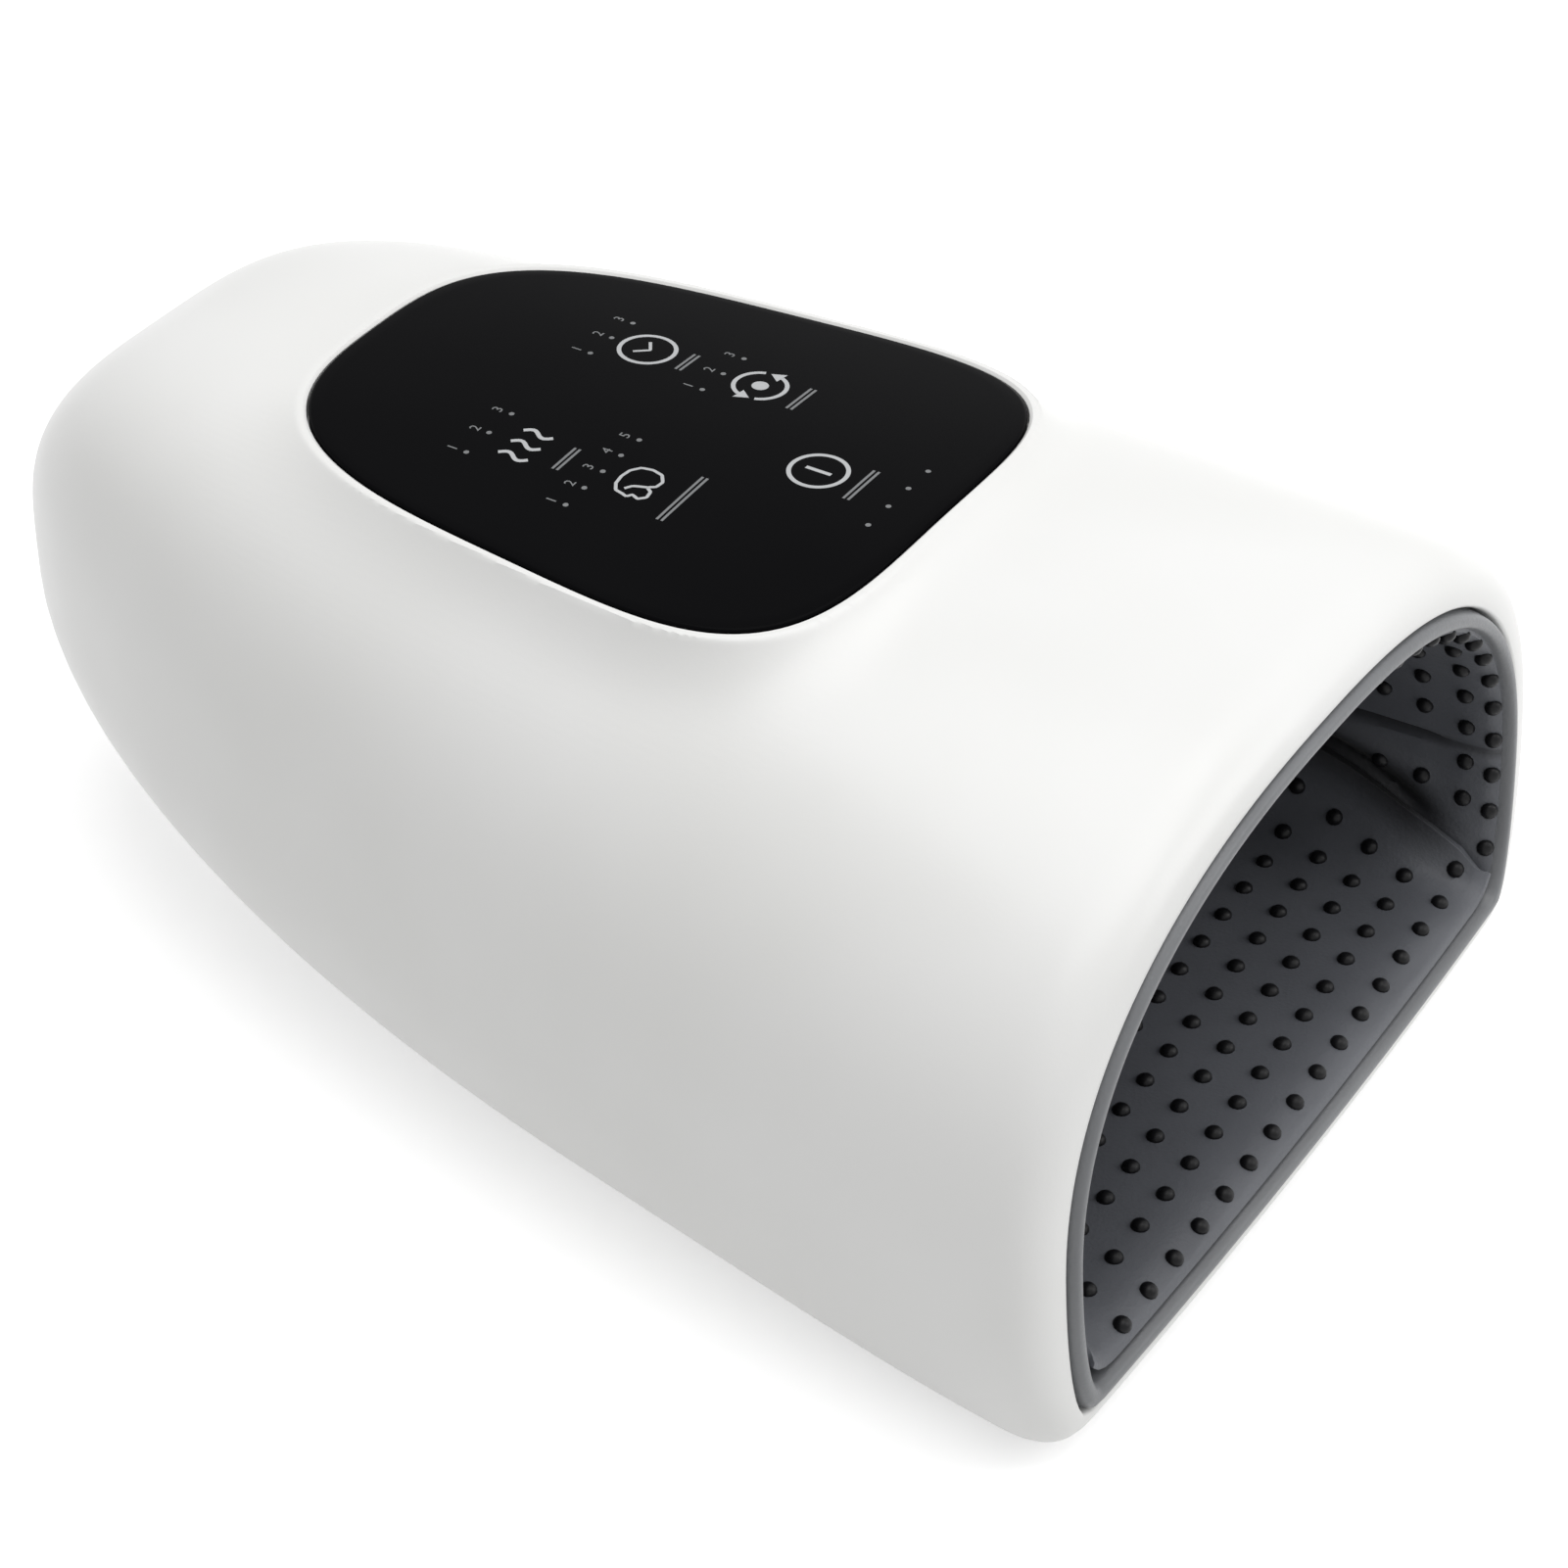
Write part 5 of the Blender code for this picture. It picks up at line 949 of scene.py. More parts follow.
def crease_shade_at(y, z):
    """How much shade is painted on a point of the lining, from how deep it lies in the side seam or in the
    fold over the floor pad.
    """
    deeper = smooth_step((y - CREASE_SHADE_START) / CREASE_SHADE_RUN)
    in_fold = math.exp(-((z - pad_edge_height(y)) / (CREASE_SHADE_HALF + CREASE_SHADE_SPREAD * deeper)) ** 2)
    in_seam = math.exp(-((z - seam_height(y)) / SEAM_HALF) ** 2)
    return float(max(in_fold * deeper, SEAM_PAINTED_SHADE * in_seam))


def mark_crease_shade(piece):
    """Give every point of the piece its value of painted shade for the fold and the seam."""
    layer = piece.data.attributes.new("crease_shade", "FLOAT", "POINT")
    for spot, point in zip(layer.data, piece.data.vertices):
        spot.value = crease_shade_at(point.co.y - MOUTH_Y, point.co.z - UNDERSIDE_Z)


def roof_rows(inset, draw, count=34, across=40):
    """Rows over the middle of the tunnel's arch, where the roof pad and its bag lie."""
    rows = []
    spread = ROOF_HALF_ANGLE * (1 - draw / (MOUTH_WIDTH / 2))
    turn = math.pi / 2 + spread * np.linspace(-1, 1, 401)
    for y in np.linspace(ROOF_FRONT + draw, ROOF_BACK - draw, count):
        half, top = tunnel_half(y, inset), tunnel_top(y, inset)
        rows.append(even_run(leaned(*arch_of(half, tunnel_waist(y), top, MOUTH_POWER, turn), y), across))
    return rows


def rim_of(grid):
    """A grid's vertices along its first column, its first row and its last column."""
    return [row[0] for row in reversed(grid)] + grid[0][1:] + [row[-1] for row in grid[1:]]


def closed_sheet(top_rows, low_rows):
    """A closed pad between two matching grids of points."""
    bm = bmesh.new()
    grids = [skin(bm, rows, False) for rows in (top_rows, low_rows)]
    join(bm, *[rim_of(grid) + grid[-1][-2:0:-1] for grid in grids])
    return bm


slate_hide, slate_shader = soft_hide(
    "slate_hide", (0.088, 0.093, 0.106), (0.112, 0.118, 0.134), 0.5, 1500, 0.06 * MM, {"Sheen Weight": 0.08}
)
# Painted shade: the hide's colour turns near black in the lining's fold and dark in its seam.
paint_crease_shade(slate_hide, slate_shader, PAINTED_CREASE_SHADE)
bm = bmesh.new()
back_rows = skin(bm, lining_rows(LINING_OUT, False), False)
face_rows = skin(bm, lining_rows(LINING_OUT + LINING_THICK, True), False)
join(bm, rim_of(back_rows), rim_of(face_rows), False)
lining = piece_from("tunnel_lining", bm, math.radians(50))
hole = closed_sheet(roof_rows(0, ROOF_HOLE_DRAW), roof_rows(ROOF_HOLE_REACH, ROOF_HOLE_DRAW))
cut_away(lining, piece_from("roof_hole", hole))
give(lining, slate_hide)
# Painted shade values for the lining's fold and seam.
mark_crease_shade(lining)
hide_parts("liner_wall")
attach(lining, "casing")

# FLOOR PAD
# The palm rests on a thin foam pad in the same synthetic leather, with side edges that curl up the
# tunnel's lower corners. Its front edge is sewn to the welt. The rest lies loose over the heating
# film and the lower air bag, and rises a little as the bag fills.
PAD_LEVEL = 9.4 * MM
PAD_THICK = 2.2 * MM
PAD_EDGE_THICK = 1.5 * MM
PAD_EDGE_GAP = 1.1 * MM
PAD_EDGE_SHARE = 0.25
PAD_FRONT_ROLL = 3 * MM
PAD_FRONT_THIN = 0.4
PAD_ROLL_SHARES = (0.04, 0.12, 0.25, 0.45, 0.7)
PAD_SIDE_GAP = 0.8 * MM
PAD_END_ROOM = 6 * MM
PAD_BEVEL = 0.7 * MM
PAD_BEND = 4 * MM
PATH_STEP = 0.4 * MM
PAD_SWELL = 0.6 * MM
SWELL_PRESSURE = 4.0
SWELL_FRAMES = 20
GLUED_WITHIN = 0.4 * MM


def pad_half(y, above):
    """Half the width between the tunnel's tucked-in sides at a height over the lining's foot."""
    half = tunnel_half(y, LINING_OUT + LINING_THICK - front_draw(y))
    tuck = tunnel_tuck(y) * half / (MOUTH_WIDTH / 2)
    rise = 1 - above / (tunnel_waist(y) - (LINING_FOOT + finger_rise(y)))
    return half - tuck * (1 - math.sqrt(1 - rise * rise)) - PAD_SIDE_GAP


def pad_path(y):
    """The pad's underside across the tunnel: flat in the middle, and curled up both sides."""
    foot = LINING_FOOT + finger_rise(y)
    above = PAD_LEVEL - LINING_FOOT
    heights = np.linspace(above, pad_edge_height(y) - foot, 40)
    sides = np.array([pad_half(y, height) for height in heights])
    gap = PAD_EDGE_GAP * smooth_step((y - PAD_START) / CURL_RUN)
    sides = sides - gap * smooth_step(np.linspace(-2, 1, 40))
    flat = np.linspace(0, sides[0], 60)[:-1]
    x = np.concatenate([-sides[::-1], -flat[::-1], flat[1:], sides])
    z = foot + np.concatenate([heights[::-1], np.full(2 * len(flat) - 1, above), heights])
    path = np.stack([x, z], axis=1)
    path = even_run(path, int(run_of(path)[-1] / PATH_STEP))
    reach = int(PAD_BEND / PATH_STEP)
    for _ in range(2):
        held = np.concatenate([[path[0]] * reach, path, [path[-1]] * reach])
        held[:reach] += (path[0] - path[1]) * np.arange(reach, 0, -1)[:, None]
        held[-reach:] += (path[-1] - path[-2]) * np.arange(1, reach + 1)[:, None]
        window = np.ones(2 * reach + 1) / (2 * reach + 1)
        path = np.stack([np.convolve(held[:, k], window, "valid") for k in (0, 1)], axis=1)
    return path


def pad_row(y, top, across=64):
    """One row across the pad, on its underside (top 0) or its upper face (top 1)."""
    path = even_run(pad_path(y), across)
    way = np.gradient(path, axis=0)
    way /= np.linalg.norm(way, axis=1)[:, None]
    normal = np.column_stack([-way[:, 1], way[:, 0]])
    from_edge = 1 - np.abs(np.linspace(-1, 1, across))
    thick = PAD_EDGE_THICK + (PAD_THICK - PAD_EDGE_THICK) * smooth_step(from_edge / PAD_EDGE_SHARE)
    front = min(max(1 - (y - PAD_START) / PAD_FRONT_ROLL, 0), 1)
    thick = thick * (PAD_FRONT_THIN + (1 - PAD_FRONT_THIN) * math.sqrt(1 - front * front))
    path = path + normal * (thick * top)[:, None]
    return leaned(path[:, 0], path[:, 1], y)


def pad_rows(top, count=56):
    """Rows of one face of the pad, closer together where its front edge rolls over."""
    end = TUNNEL_END - LINING_OUT - LINING_THICK - PAD_END_ROOM
    turns = np.linspace(0, math.pi / 2, count)
    lengths = [PAD_START + (end - PAD_START) * math.sin(turn) for turn in turns]
    roll = [PAD_START + PAD_FRONT_ROLL * share for share in PAD_ROLL_SHARES]
    return [pad_row(y, top) for y in sorted(lengths + roll)]


def surface_through(rows):
    """A surface through rows of points, in the frame's own place, for distances and rays."""
    points = [Vector(point) + IN_PLACE for row in rows for point in row]
    n = len(rows[0])
    corners = [(r * n + c, r * n + c + 1) for r in range(len(rows) - 1) for c in range(n - 1)]
    return BVHTree.FromPolygons(points, [(first, second, second + n, first + n) for first, second in corners])


def swell(piece, cap, glued):
    """Blow the pad up a little as cloth, glued where it lies on a surface, and keep the result."""
    start = np.array([v.co for v in piece.data.vertices])
    held = [k for k, point in enumerate(start) if glued.find_nearest(Vector(point))[3] < GLUED_WITHIN]
    piece.vertex_groups.new(name="held").add(held, 1.0, "REPLACE")
    step = piece.modifiers.new("swell", "CLOTH")
    for name, value in (
        ("use_pressure", True), ("uniform_pressure_force", SWELL_PRESSURE), ("vertex_group_mass", "held"),
        ("quality", 4), ("tension_stiffness", 20), ("bending_stiffness", 1.2),
    ):
        setattr(step.settings, name, value)
    step.settings.effector_weights.gravity = 0
    step.point_cache.frame_start = 1
    step.point_cache.frame_end = SWELL_FRAMES
    scene = bpy.context.scene
    for number in range(1, SWELL_FRAMES + 1):
        scene.frame_set(number)
    graph = bpy.context.evaluated_depsgraph_get()
    moved = np.array([v.co for v in piece.evaluated_get(graph).to_mesh().vertices])
    piece.modifiers.clear()
    piece.vertex_groups.clear()
    scene.frame_set(1)
    move = moved - start
    size = np.linalg.norm(move, axis=1)
    move *= (np.minimum(size, cap) / np.maximum(size, 1e-9))[:, None]
    for vertex, point in zip(piece.data.vertices, start + move):
        vertex.co = point
    piece.data.update()


def soften_edges(piece, width):
    """Round the piece's sharp edges over, and shade all of it smooth."""
    edge = piece.modifiers.new("edge", "BEVEL")
    edge.width = width
    edge.segments = 3
    edge.limit_method = "ANGLE"
    edge.angle_limit = math.radians(60)
    settle(piece).data.shade_smooth()


floor_pad = piece_from("floor_pad", closed_sheet(pad_rows(1), pad_rows(0)), math.radians(70))
swell(floor_pad, PAD_SWELL, surface_through(pad_rows(0)))
soften_edges(floor_pad, PAD_BEVEL)
give(floor_pad, slate_hide)
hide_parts("liner_floor")
# Painted shade on the floor pad's curled side edges, where they meet the lining's fold.
mark_crease_shade(floor_pad)
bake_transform(floor_pad)

# ROOF PAD
# A soft pad sewn over the upper air bag, in the same nubbed synthetic leather. The bag presses it
# down on the back of the hand.
ROOF_PAD_OUT = 5.8 * MM
ROOF_PAD_THICK = 3.5 * MM
ROOF_EDGE_THICK = 0.9 * MM
ROOF_EDGE_SHARE = 0.22
ROOF_SWELL = 0.8 * MM
ROOF_BEVEL = 0.35 * MM


def crowned_rows():
    """The roof pad's lower face, thin along its sewn edges and full inside them."""
    thin = np.array(roof_rows(ROOF_PAD_OUT + ROOF_EDGE_THICK, 0))
    full = np.array(roof_rows(ROOF_PAD_OUT + ROOF_PAD_THICK - ROOF_SWELL, 0))
    along = 1 - np.abs(np.linspace(-1, 1, thin.shape[0]))[:, None]
    across = 1 - np.abs(np.linspace(-1, 1, thin.shape[1]))[None, :]
    fill = smooth_step(np.minimum(along, across) / ROOF_EDGE_SHARE)[:, :, None]
    return list(thin + (full - thin) * fill)


roof_pad = piece_from(
    "roof_cushion_pad", closed_sheet(roof_rows(ROOF_PAD_OUT, 0), crowned_rows()), math.radians(70)
)
swell(roof_pad, ROOF_SWELL, surface_through(roof_rows(ROOF_PAD_OUT, 0)))
soften_edges(roof_pad, ROOF_BEVEL)
give(roof_pad, slate_hide)
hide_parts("roof_pad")
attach(roof_pad, "roof_cushion")

# AIR BAGS
# Two flat bags of welded film, one over the hand and one under it. Each is glued to the frame on one
# face and to its pad on the other.
UPPER_BAG_OUT = 2.9 * MM
UPPER_BAG_IN = 5.5 * MM
UPPER_BAG_DRAW = 4 * MM
UPPER_BAG_ENDS = (0.0666, 0.0523)
LOWER_BAG_TOP = 8.5 * MM
LOWER_BAG_FOOT = 6.7 * MM
LOWER_BAG_DRAW = 6 * MM
LOWER_BAG_ENDS = (0.0082, 0.0161)
BAG_END_ROOM = 20 * MM

bag_film = moulded(
    "bag_film", (0.02, 0.02, 0.022), (0.035, 0.035, 0.038), 0.35, 0.06, 260, 0.12 * MM
)
upper_bag = piece_from("upper_air_bag", closed_sheet(
    roof_rows(UPPER_BAG_OUT, UPPER_BAG_DRAW), roof_rows(UPPER_BAG_IN, UPPER_BAG_DRAW)
))


def bag_rows(level):
    """Rows of one face of the lower bag, which narrows with the tunnel."""
    rows = []
    start = TUNNEL_START + LOWER_BAG_DRAW
    end = TUNNEL_END - LINING_OUT - LINING_THICK - BAG_END_ROOM
    for turn in np.linspace(0, math.pi / 2, 30):
        y = start + (end - start) * math.sin(turn)
        side = pad_half(y, 0) - LOWER_BAG_DRAW
        x = np.linspace(-side, side, 24)
        z = np.full(24, level + finger_rise(y))
        rows.append(np.stack([x, y + mouth_shift(x, level, y / CASING_LENGTH), z], axis=1))
    return rows


lower_bag = piece_from("lower_air_bag", closed_sheet(bag_rows(LOWER_BAG_TOP), bag_rows(LOWER_BAG_FOOT)))
for bag, cad_node, cushion, ends in (
    (upper_bag, "roof_airbag", "roof_cushion", UPPER_BAG_ENDS),
    (lower_bag, "floor_airbag", "floor_cushion", LOWER_BAG_ENDS),
):
    give(bag, bag_film)
    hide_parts(cad_node)
    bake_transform(bag)

# WELT
# A plump band of smoother grey synthetic leather that finishes the lining's edge just inside the lip.
# It is a soft tube, sewn round the mouth of the inner frame.
WELT_START = -0.9 * MM
WELT_DEPTH = 9 * MM
WELT_WIDTH = 3.4 * MM
WELT_SILL = 3.2 * MM
WELT_OUT = 0.15 * MM
WELT_POWER = 3.2

band_hide, _ = soft_hide(
    "band_hide", (0.15, 0.155, 0.163), (0.19, 0.196, 0.205), 0.42, 1300, 0.05 * MM
)
rings = []
for turn in np.linspace(math.pi, 0, 25):
    across = (1 - math.copysign(abs(math.cos(turn)) ** (2 / WELT_POWER), math.cos(turn))) / 2
    depth = WELT_START + WELT_DEPTH * (1 - math.sin(turn) ** (2 / WELT_POWER))
    inset = WELT_OUT + (WELT_WIDTH - WELT_OUT) * across
    rings.append(mouth_row(inset, WELT_OUT + (WELT_SILL - WELT_OUT) * across, depth))
bm = bmesh.new()
skin(bm, rings + rings[:1])
welt = piece_from("mouth_welt", bm, math.radians(80))
give(welt, band_hide)
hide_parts("liner_welt")
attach(welt, "casing")

# NUBS
# Small gloss black rubber domes, moulded on the lining in a close triangular pattern. Geometry
# Nodes set one dome on each point of the pattern, square to the skin under it.
NUB_RADIUS = 1.4 * MM
NUB_HEIGHT = 1.1 * MM
NUB_PITCH = 7.64 * MM
NUB_ROW_RISE = 0.2 * MM
NUB_ROW_STEP = 6.95 * MM
NUB_ROW_SHIFT = 2.48 * MM
NUB_FIRST_ROW = 3.3 * MM
NUB_EDGE_ROOM = 2.4 * MM
NUB_END_ROOM = 9 * MM
NUB_ROWS = 24
FLOOR_COLUMNS = range(-12, 13)
WALL_NUB_PITCH = 6.6 * MM
WALL_COLUMNS = range(-18, 19)
WALL_FIRST_ROW = 6.2 * MM
EDGE_ROW = 1.9 * MM
WALL_FOOT_ROOM = 3 * MM
PAD_EDGE_ROOM = 0.4 * MM
SEAM_ROOM = 1.6 * MM
ROOF_CAST_BACK = 2 * MM
ROOF_CAST_REACH = 20 * MM


def points_tree(name, *sizes):
    """A tree with points and named sizes in, and the identifiers of its sizes."""
    tree = bpy.data.node_groups.new(name, "GeometryNodeTree")
    tree.interface.new_socket("Points", in_out="INPUT", socket_type="NodeSocketGeometry")
    inputs = [
        tree.interface.new_socket(size, in_out="INPUT", socket_type="NodeSocketFloat") for size in sizes
    ]
    tree.interface.new_socket("Copies", in_out="OUTPUT", socket_type="NodeSocketGeometry")
    return tree, [made.identifier for made in inputs]


def end_tree(tree, geometry, finish):
    """End a tree in Set Material and its output."""
    paint = node(tree, "GeometryNodeSetMaterial", {"Geometry": geometry, "Material": finish})
    node(tree, "NodeGroupOutput", {"Copies": paint.outputs["Geometry"]})


def stud_tree(name, finish):
    """A tree that sets a squashed ball on each point, turned to the point's own facing."""
    tree, sizes = points_tree(name, "Stud radius", "Stud height")
    given = node(tree, "NodeGroupInput").outputs
    ball = node(tree, "GeometryNodeMeshUVSphere", {"Segments": 14, "Rings": 8, "Radius": 1.0})
    facing = node(tree, "GeometryNodeInputNamedAttribute", {"Name": "facing"}, data_type="FLOAT_VECTOR")
    turn = node(tree, "FunctionNodeAlignRotationToVector", {"Vector": facing.outputs["Attribute"]}, axis="Z")
    size = node(tree, "ShaderNodeCombineXYZ", {
        "X": given["Stud radius"], "Y": given["Stud radius"], "Z": given["Stud height"],
    })
    each = node(tree, "GeometryNodeInstanceOnPoints", {
        "Points": given["Points"], "Instance": ball.outputs["Mesh"],
        "Rotation": turn.outputs["Rotation"], "Scale": size.outputs["Vector"],
    })
    real = node(tree, "GeometryNodeRealizeInstances", {"Geometry": each.outputs["Instances"]})
    smooth = node(tree, "GeometryNodeSetShadeSmooth", {"Geometry": real.outputs["Geometry"]})
    end_tree(tree, smooth.outputs["Geometry"], finish)
    return tree, sizes


def grown(name, mesh, tree, sizes):
    """The plain piece that a tree makes on the points of a mesh."""
    made = linked(name, mesh)
    step = made.modifiers.new("copies", "NODES")
    step.node_group = tree
    for identifier, value in sizes.items():
        step[identifier] = value
    return settle(made)


nub_rubber = moulded(
    "nub_rubber", (0.005, 0.005, 0.006), (0.009, 0.009, 0.01), 0.38, 0.05, 900, 0.02 * MM,
    {"Specular IOR Level": 0.2},
)
nub_tree, (radius_input, height_input) = stud_tree("nub_pattern", nub_rubber)


def set_nubs(name, places, body):
    """Make one piece of nubs from (point, facing) pairs."""
    mesh = bpy.data.meshes.new(name)
    mesh.from_pydata([tuple(point) for point, _ in places], [], [])
    facing = mesh.attributes.new("facing", "FLOAT_VECTOR", "POINT")
    for spot, (_, way) in zip(facing.data, places):
        spot.vector = way
    made = grown(name, mesh, nub_tree, {radius_input: NUB_RADIUS, height_input: NUB_HEIGHT})
    if body == "floor_cushion":
        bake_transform(made)
    else:
        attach(made, body)


def surface_of(piece):
    """A piece's faces, for distances and rays."""
    mesh = piece.data
    return BVHTree.FromPolygons([v.co for v in mesh.vertices], [tuple(p.vertices) for p in mesh.polygons])


def point_at(at, run, path):
    """The point at a distance along a path, in the frame's own place."""
    return Vector([float(np.interp(at, run, path[:, k])) for k in range(3)]) + IN_PLACE


places = []
pad_surface = surface_of(floor_pad)
for row in range(NUB_ROWS):
    for column in FLOOR_COLUMNS:
        y = NUB_FIRST_ROW + row * NUB_ROW_STEP + column * NUB_ROW_RISE
        at = column * NUB_PITCH + math.fmod(row * NUB_ROW_SHIFT, NUB_PITCH)
        if y > TUNNEL_END - PAD_END_ROOM - NUB_END_ROOM:
            continue
        path = pad_row(y, 1, 240)
        run = run_of(path)
        if abs(at) > run[-1] / 2 - NUB_EDGE_ROOM:
            continue
        hit, way, _, _ = pad_surface.find_nearest(point_at(at + run[-1] / 2, run, path))
        places.append((hit, way))
set_nubs("floor_nubs", places, "floor_cushion")

places = []
roof_places = []
wall_surface = surface_of(lining)
roof_surface = surface_of(roof_pad)
for row in range(-1, NUB_ROWS):
    y = WALL_FIRST_ROW + row * NUB_ROW_STEP if row >= 0 else EDGE_ROW
    if y > TUNNEL_END - NUB_END_ROOM:
        continue
    section = tunnel_section(y, LINING_OUT + LINING_THICK - front_draw(y), 400, 60)
    run = run_of(section)
    for column in WALL_COLUMNS:
        shift = math.fmod((row + 1) * NUB_ROW_SHIFT, WALL_NUB_PITCH)
        at = run[-1] / 2 + column * WALL_NUB_PITCH + shift
        if at < WALL_FOOT_ROOM or at > run[-1] - WALL_FOOT_ROOM:
            continue
        point = point_at(at, run, section)
        if point.z < pad_edge_height(y) + UNDERSIDE_Z + NUB_RADIUS + PAD_EDGE_ROOM:
            continue
        inward = (Vector((0, point.y, MOUTH_WAIST + UNDERSIDE_Z)) - point).normalized()
        hit, way, _, distance = roof_surface.ray_cast(point - inward * ROOF_CAST_BACK, inward)
        if hit is not None and distance < ROOF_CAST_REACH:
            hit, way, _, _ = roof_surface.ray_cast(point + inward * ROOF_CAST_REACH, -inward)
            if hit is not None:
                roof_places.append((hit, way))
            continue
        hit, way, _, _ = wall_surface.find_nearest(point)
        if hit is not None and abs(hit.z - UNDERSIDE_Z - seam_height(y)) > SEAM_ROOM:
            places.append((hit, -way if way.dot(inward) < 0 else way))
set_nubs("lining_nubs", places, "casing")
set_nubs("roof_nubs", roof_places, "roof_cushion")

# UNDERSIDE COVER
# A flat white ABS cover, flush in the casing's seat, held by six small screws in counterbores.
COVER_FLANGE = 1.2 * MM
COVER_PLUG = 1.2 * MM
COVER_EDGE = 0.35 * MM
SCREW_HEAD_RADIUS = 2.2 * MM
SCREW_HEAD_THICK = 1 * MM
SCREW_SEAT = 0.7 * MM
SCREW_SHANK = 1 * MM
SCREW_LEAD = 1.9 * MM
SCREW_SHARES = (0.18, 0.5, 0.82)
SCREW_INSET = 11 * MM
COVER_SCREWS = []
for share in SCREW_SHARES:
    y = COVER_FRONT + (COVER_BACK - COVER_FRONT) * share
    half = COVER_FRONT_HALF + (COVER_BACK_HALF - COVER_FRONT_HALF) * share - SCREW_INSET
    COVER_SCREWS += [(-half, y), (half, y)]

bm = bmesh.new()
ringed(bm, [
    flat_ring(cover_outline(-COVER_EDGE), 0),
    flat_ring(cover_outline(-COVER_EDGE * 0.3), COVER_EDGE * 0.3),
    flat_ring(cover_outline(0), COVER_EDGE),
    flat_ring(cover_outline(0), COVER_FLANGE),
    flat_ring(cover_outline(-COVER_LEDGE - PANEL_GAP), COVER_FLANGE),
    flat_ring(cover_outline(-COVER_LEDGE - PANEL_GAP), COVER_FLANGE + COVER_PLUG),
])
cover = piece_from("underside_cover", bm)
bm = bmesh.new()
for place in COVER_SCREWS:
    wide = circle_round(place, SCREW_HEAD_RADIUS + PANEL_GAP, 40)
    narrow = circle_round(place, SCREW_SHANK + PANEL_GAP, 40)
    seat = SCREW_SEAT + SCREW_HEAD_THICK - PANEL_GAP
    ringed(bm, [
        flat_ring(wide, -CUT_ROOM), flat_ring(wide, seat),
        flat_ring(narrow, seat), flat_ring(narrow, CUT_ROOM),
    ])
cut_away(cover, piece_from("cover_cuts", bm))
give(cover, white_abs)
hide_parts("base_cover")
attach(cover, "casing")

# COVER SCREWS
# Six small zinc-plated pan head screws with a cross recess. One is modelled, and Geometry Nodes set
# it in each counterbore of the cover.
RECESS_HALF = 0.28 * MM
RECESS_REACH = 1.15 * MM
RECESS_DEPTH = 0.55 * MM
RECESS_TAPER = 0.75
METAL = {"Metallic": 1.0}

zinc_plate = moulded(
    "zinc_plate", (0.5, 0.5, 0.5), (0.62, 0.62, 0.61), 0.3, 0.07, 700, 0.02 * MM, METAL
)


def turned(bm, profile, points):
    """A body turned about Z from (level, radius) pairs."""
    ringed(bm, [flat_ring(circle_round((0, 0), radius, points), level) for level, radius in profile])


def set_copies(name, master, finish, places):
    """One piece of copies of the master at each place, with the master taken away."""
    tree, (size_input,) = points_tree(name, "Size")
    given = node(tree, "NodeGroupInput").outputs
    source = node(tree, "GeometryNodeObjectInfo", {"Object": master})
    each = node(tree, "GeometryNodeInstanceOnPoints", {
        "Points": given["Points"], "Instance": source.outputs["Geometry"], "Scale": given["Size"],
    })
    real = node(tree, "GeometryNodeRealizeInstances", {"Geometry": each.outputs["Instances"]})
    end_tree(tree, real.outputs["Geometry"], finish)
    mesh = bpy.data.meshes.new(name)
    mesh.from_pydata(places, [], [])
    made = grown(name, mesh, tree, {size_input: 1.0})
    bpy.data.objects.remove(master, do_unlink=True)
    return made


bm = bmesh.new()
turned(bm, [
    (SCREW_HEAD_THICK + COVER_FLANGE + SCREW_LEAD, SCREW_SHANK),
    (SCREW_HEAD_THICK, SCREW_SHANK),
    (SCREW_HEAD_THICK, SCREW_HEAD_RADIUS),
    (0.45 * SCREW_HEAD_THICK, SCREW_HEAD_RADIUS),
    (0.15 * SCREW_HEAD_THICK, 0.85 * SCREW_HEAD_RADIUS),
    (0, 0.55 * SCREW_HEAD_RADIUS),
], 36)
screw = piece_from("screw_master", bm, in_frame=True)
for along, across in ((RECESS_REACH, RECESS_HALF), (RECESS_HALF, RECESS_REACH)):
    bm = bmesh.new()
    low = np.array([(-along, -across), (along, -across), (along, across), (-along, across)])
    ringed(bm, [flat_ring(low, -CUT_ROOM), flat_ring(low * RECESS_TAPER, RECESS_DEPTH)])
    cut_away(screw, piece_from("screw_slot", bm, in_frame=True))
head_level = UNDERSIDE_Z + SCREW_SEAT - 2 * PANEL_GAP
cover_screws = set_copies(
    "cover_screws", screw, zinc_plate, [(x, y + MOUTH_Y, head_level) for x, y in COVER_SCREWS]
)
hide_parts(*[f"base_screw_{k}" for k in range(1, 7)])
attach(cover_screws, "casing")

# FEET
# Four soft rubber feet with a rounded edge and a shallow dish, glued in round seats.
FOOT_STAND = 1.5 * MM
FOOT_DISH = 0.25 * MM
FOOT_ROUND = 0.6 * MM

foot_rubber = moulded(
    "foot_rubber", (0.028, 0.028, 0.03), (0.045, 0.045, 0.047), 0.72, 0.08, 1600, 0.06 * MM
)
bm = bmesh.new()
profile = [(FOOT_SEAT + FOOT_STAND - PANEL_GAP, FOOT_RADIUS)]
for turn in np.linspace(0, math.pi / 2, 5):
    profile.append((FOOT_ROUND * (1 - math.sin(turn)), FOOT_RADIUS - FOOT_ROUND * (1 - math.cos(turn))))
profile += [(0, 0.78 * FOOT_RADIUS), (FOOT_DISH, 0.66 * FOOT_RADIUS), (FOOT_DISH, 0.05 * FOOT_RADIUS)]
turned(bm, profile, CIRCLE_POINTS)
foot = piece_from("foot_master", bm, in_frame=True)
feet = set_copies("rubber_feet", foot, foot_rubber, [(x, y + MOUTH_Y, 0) for x, y in FOOT_PLACES])
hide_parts("foot_1", "foot_2", "foot_3", "foot_4")
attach(feet, "casing")

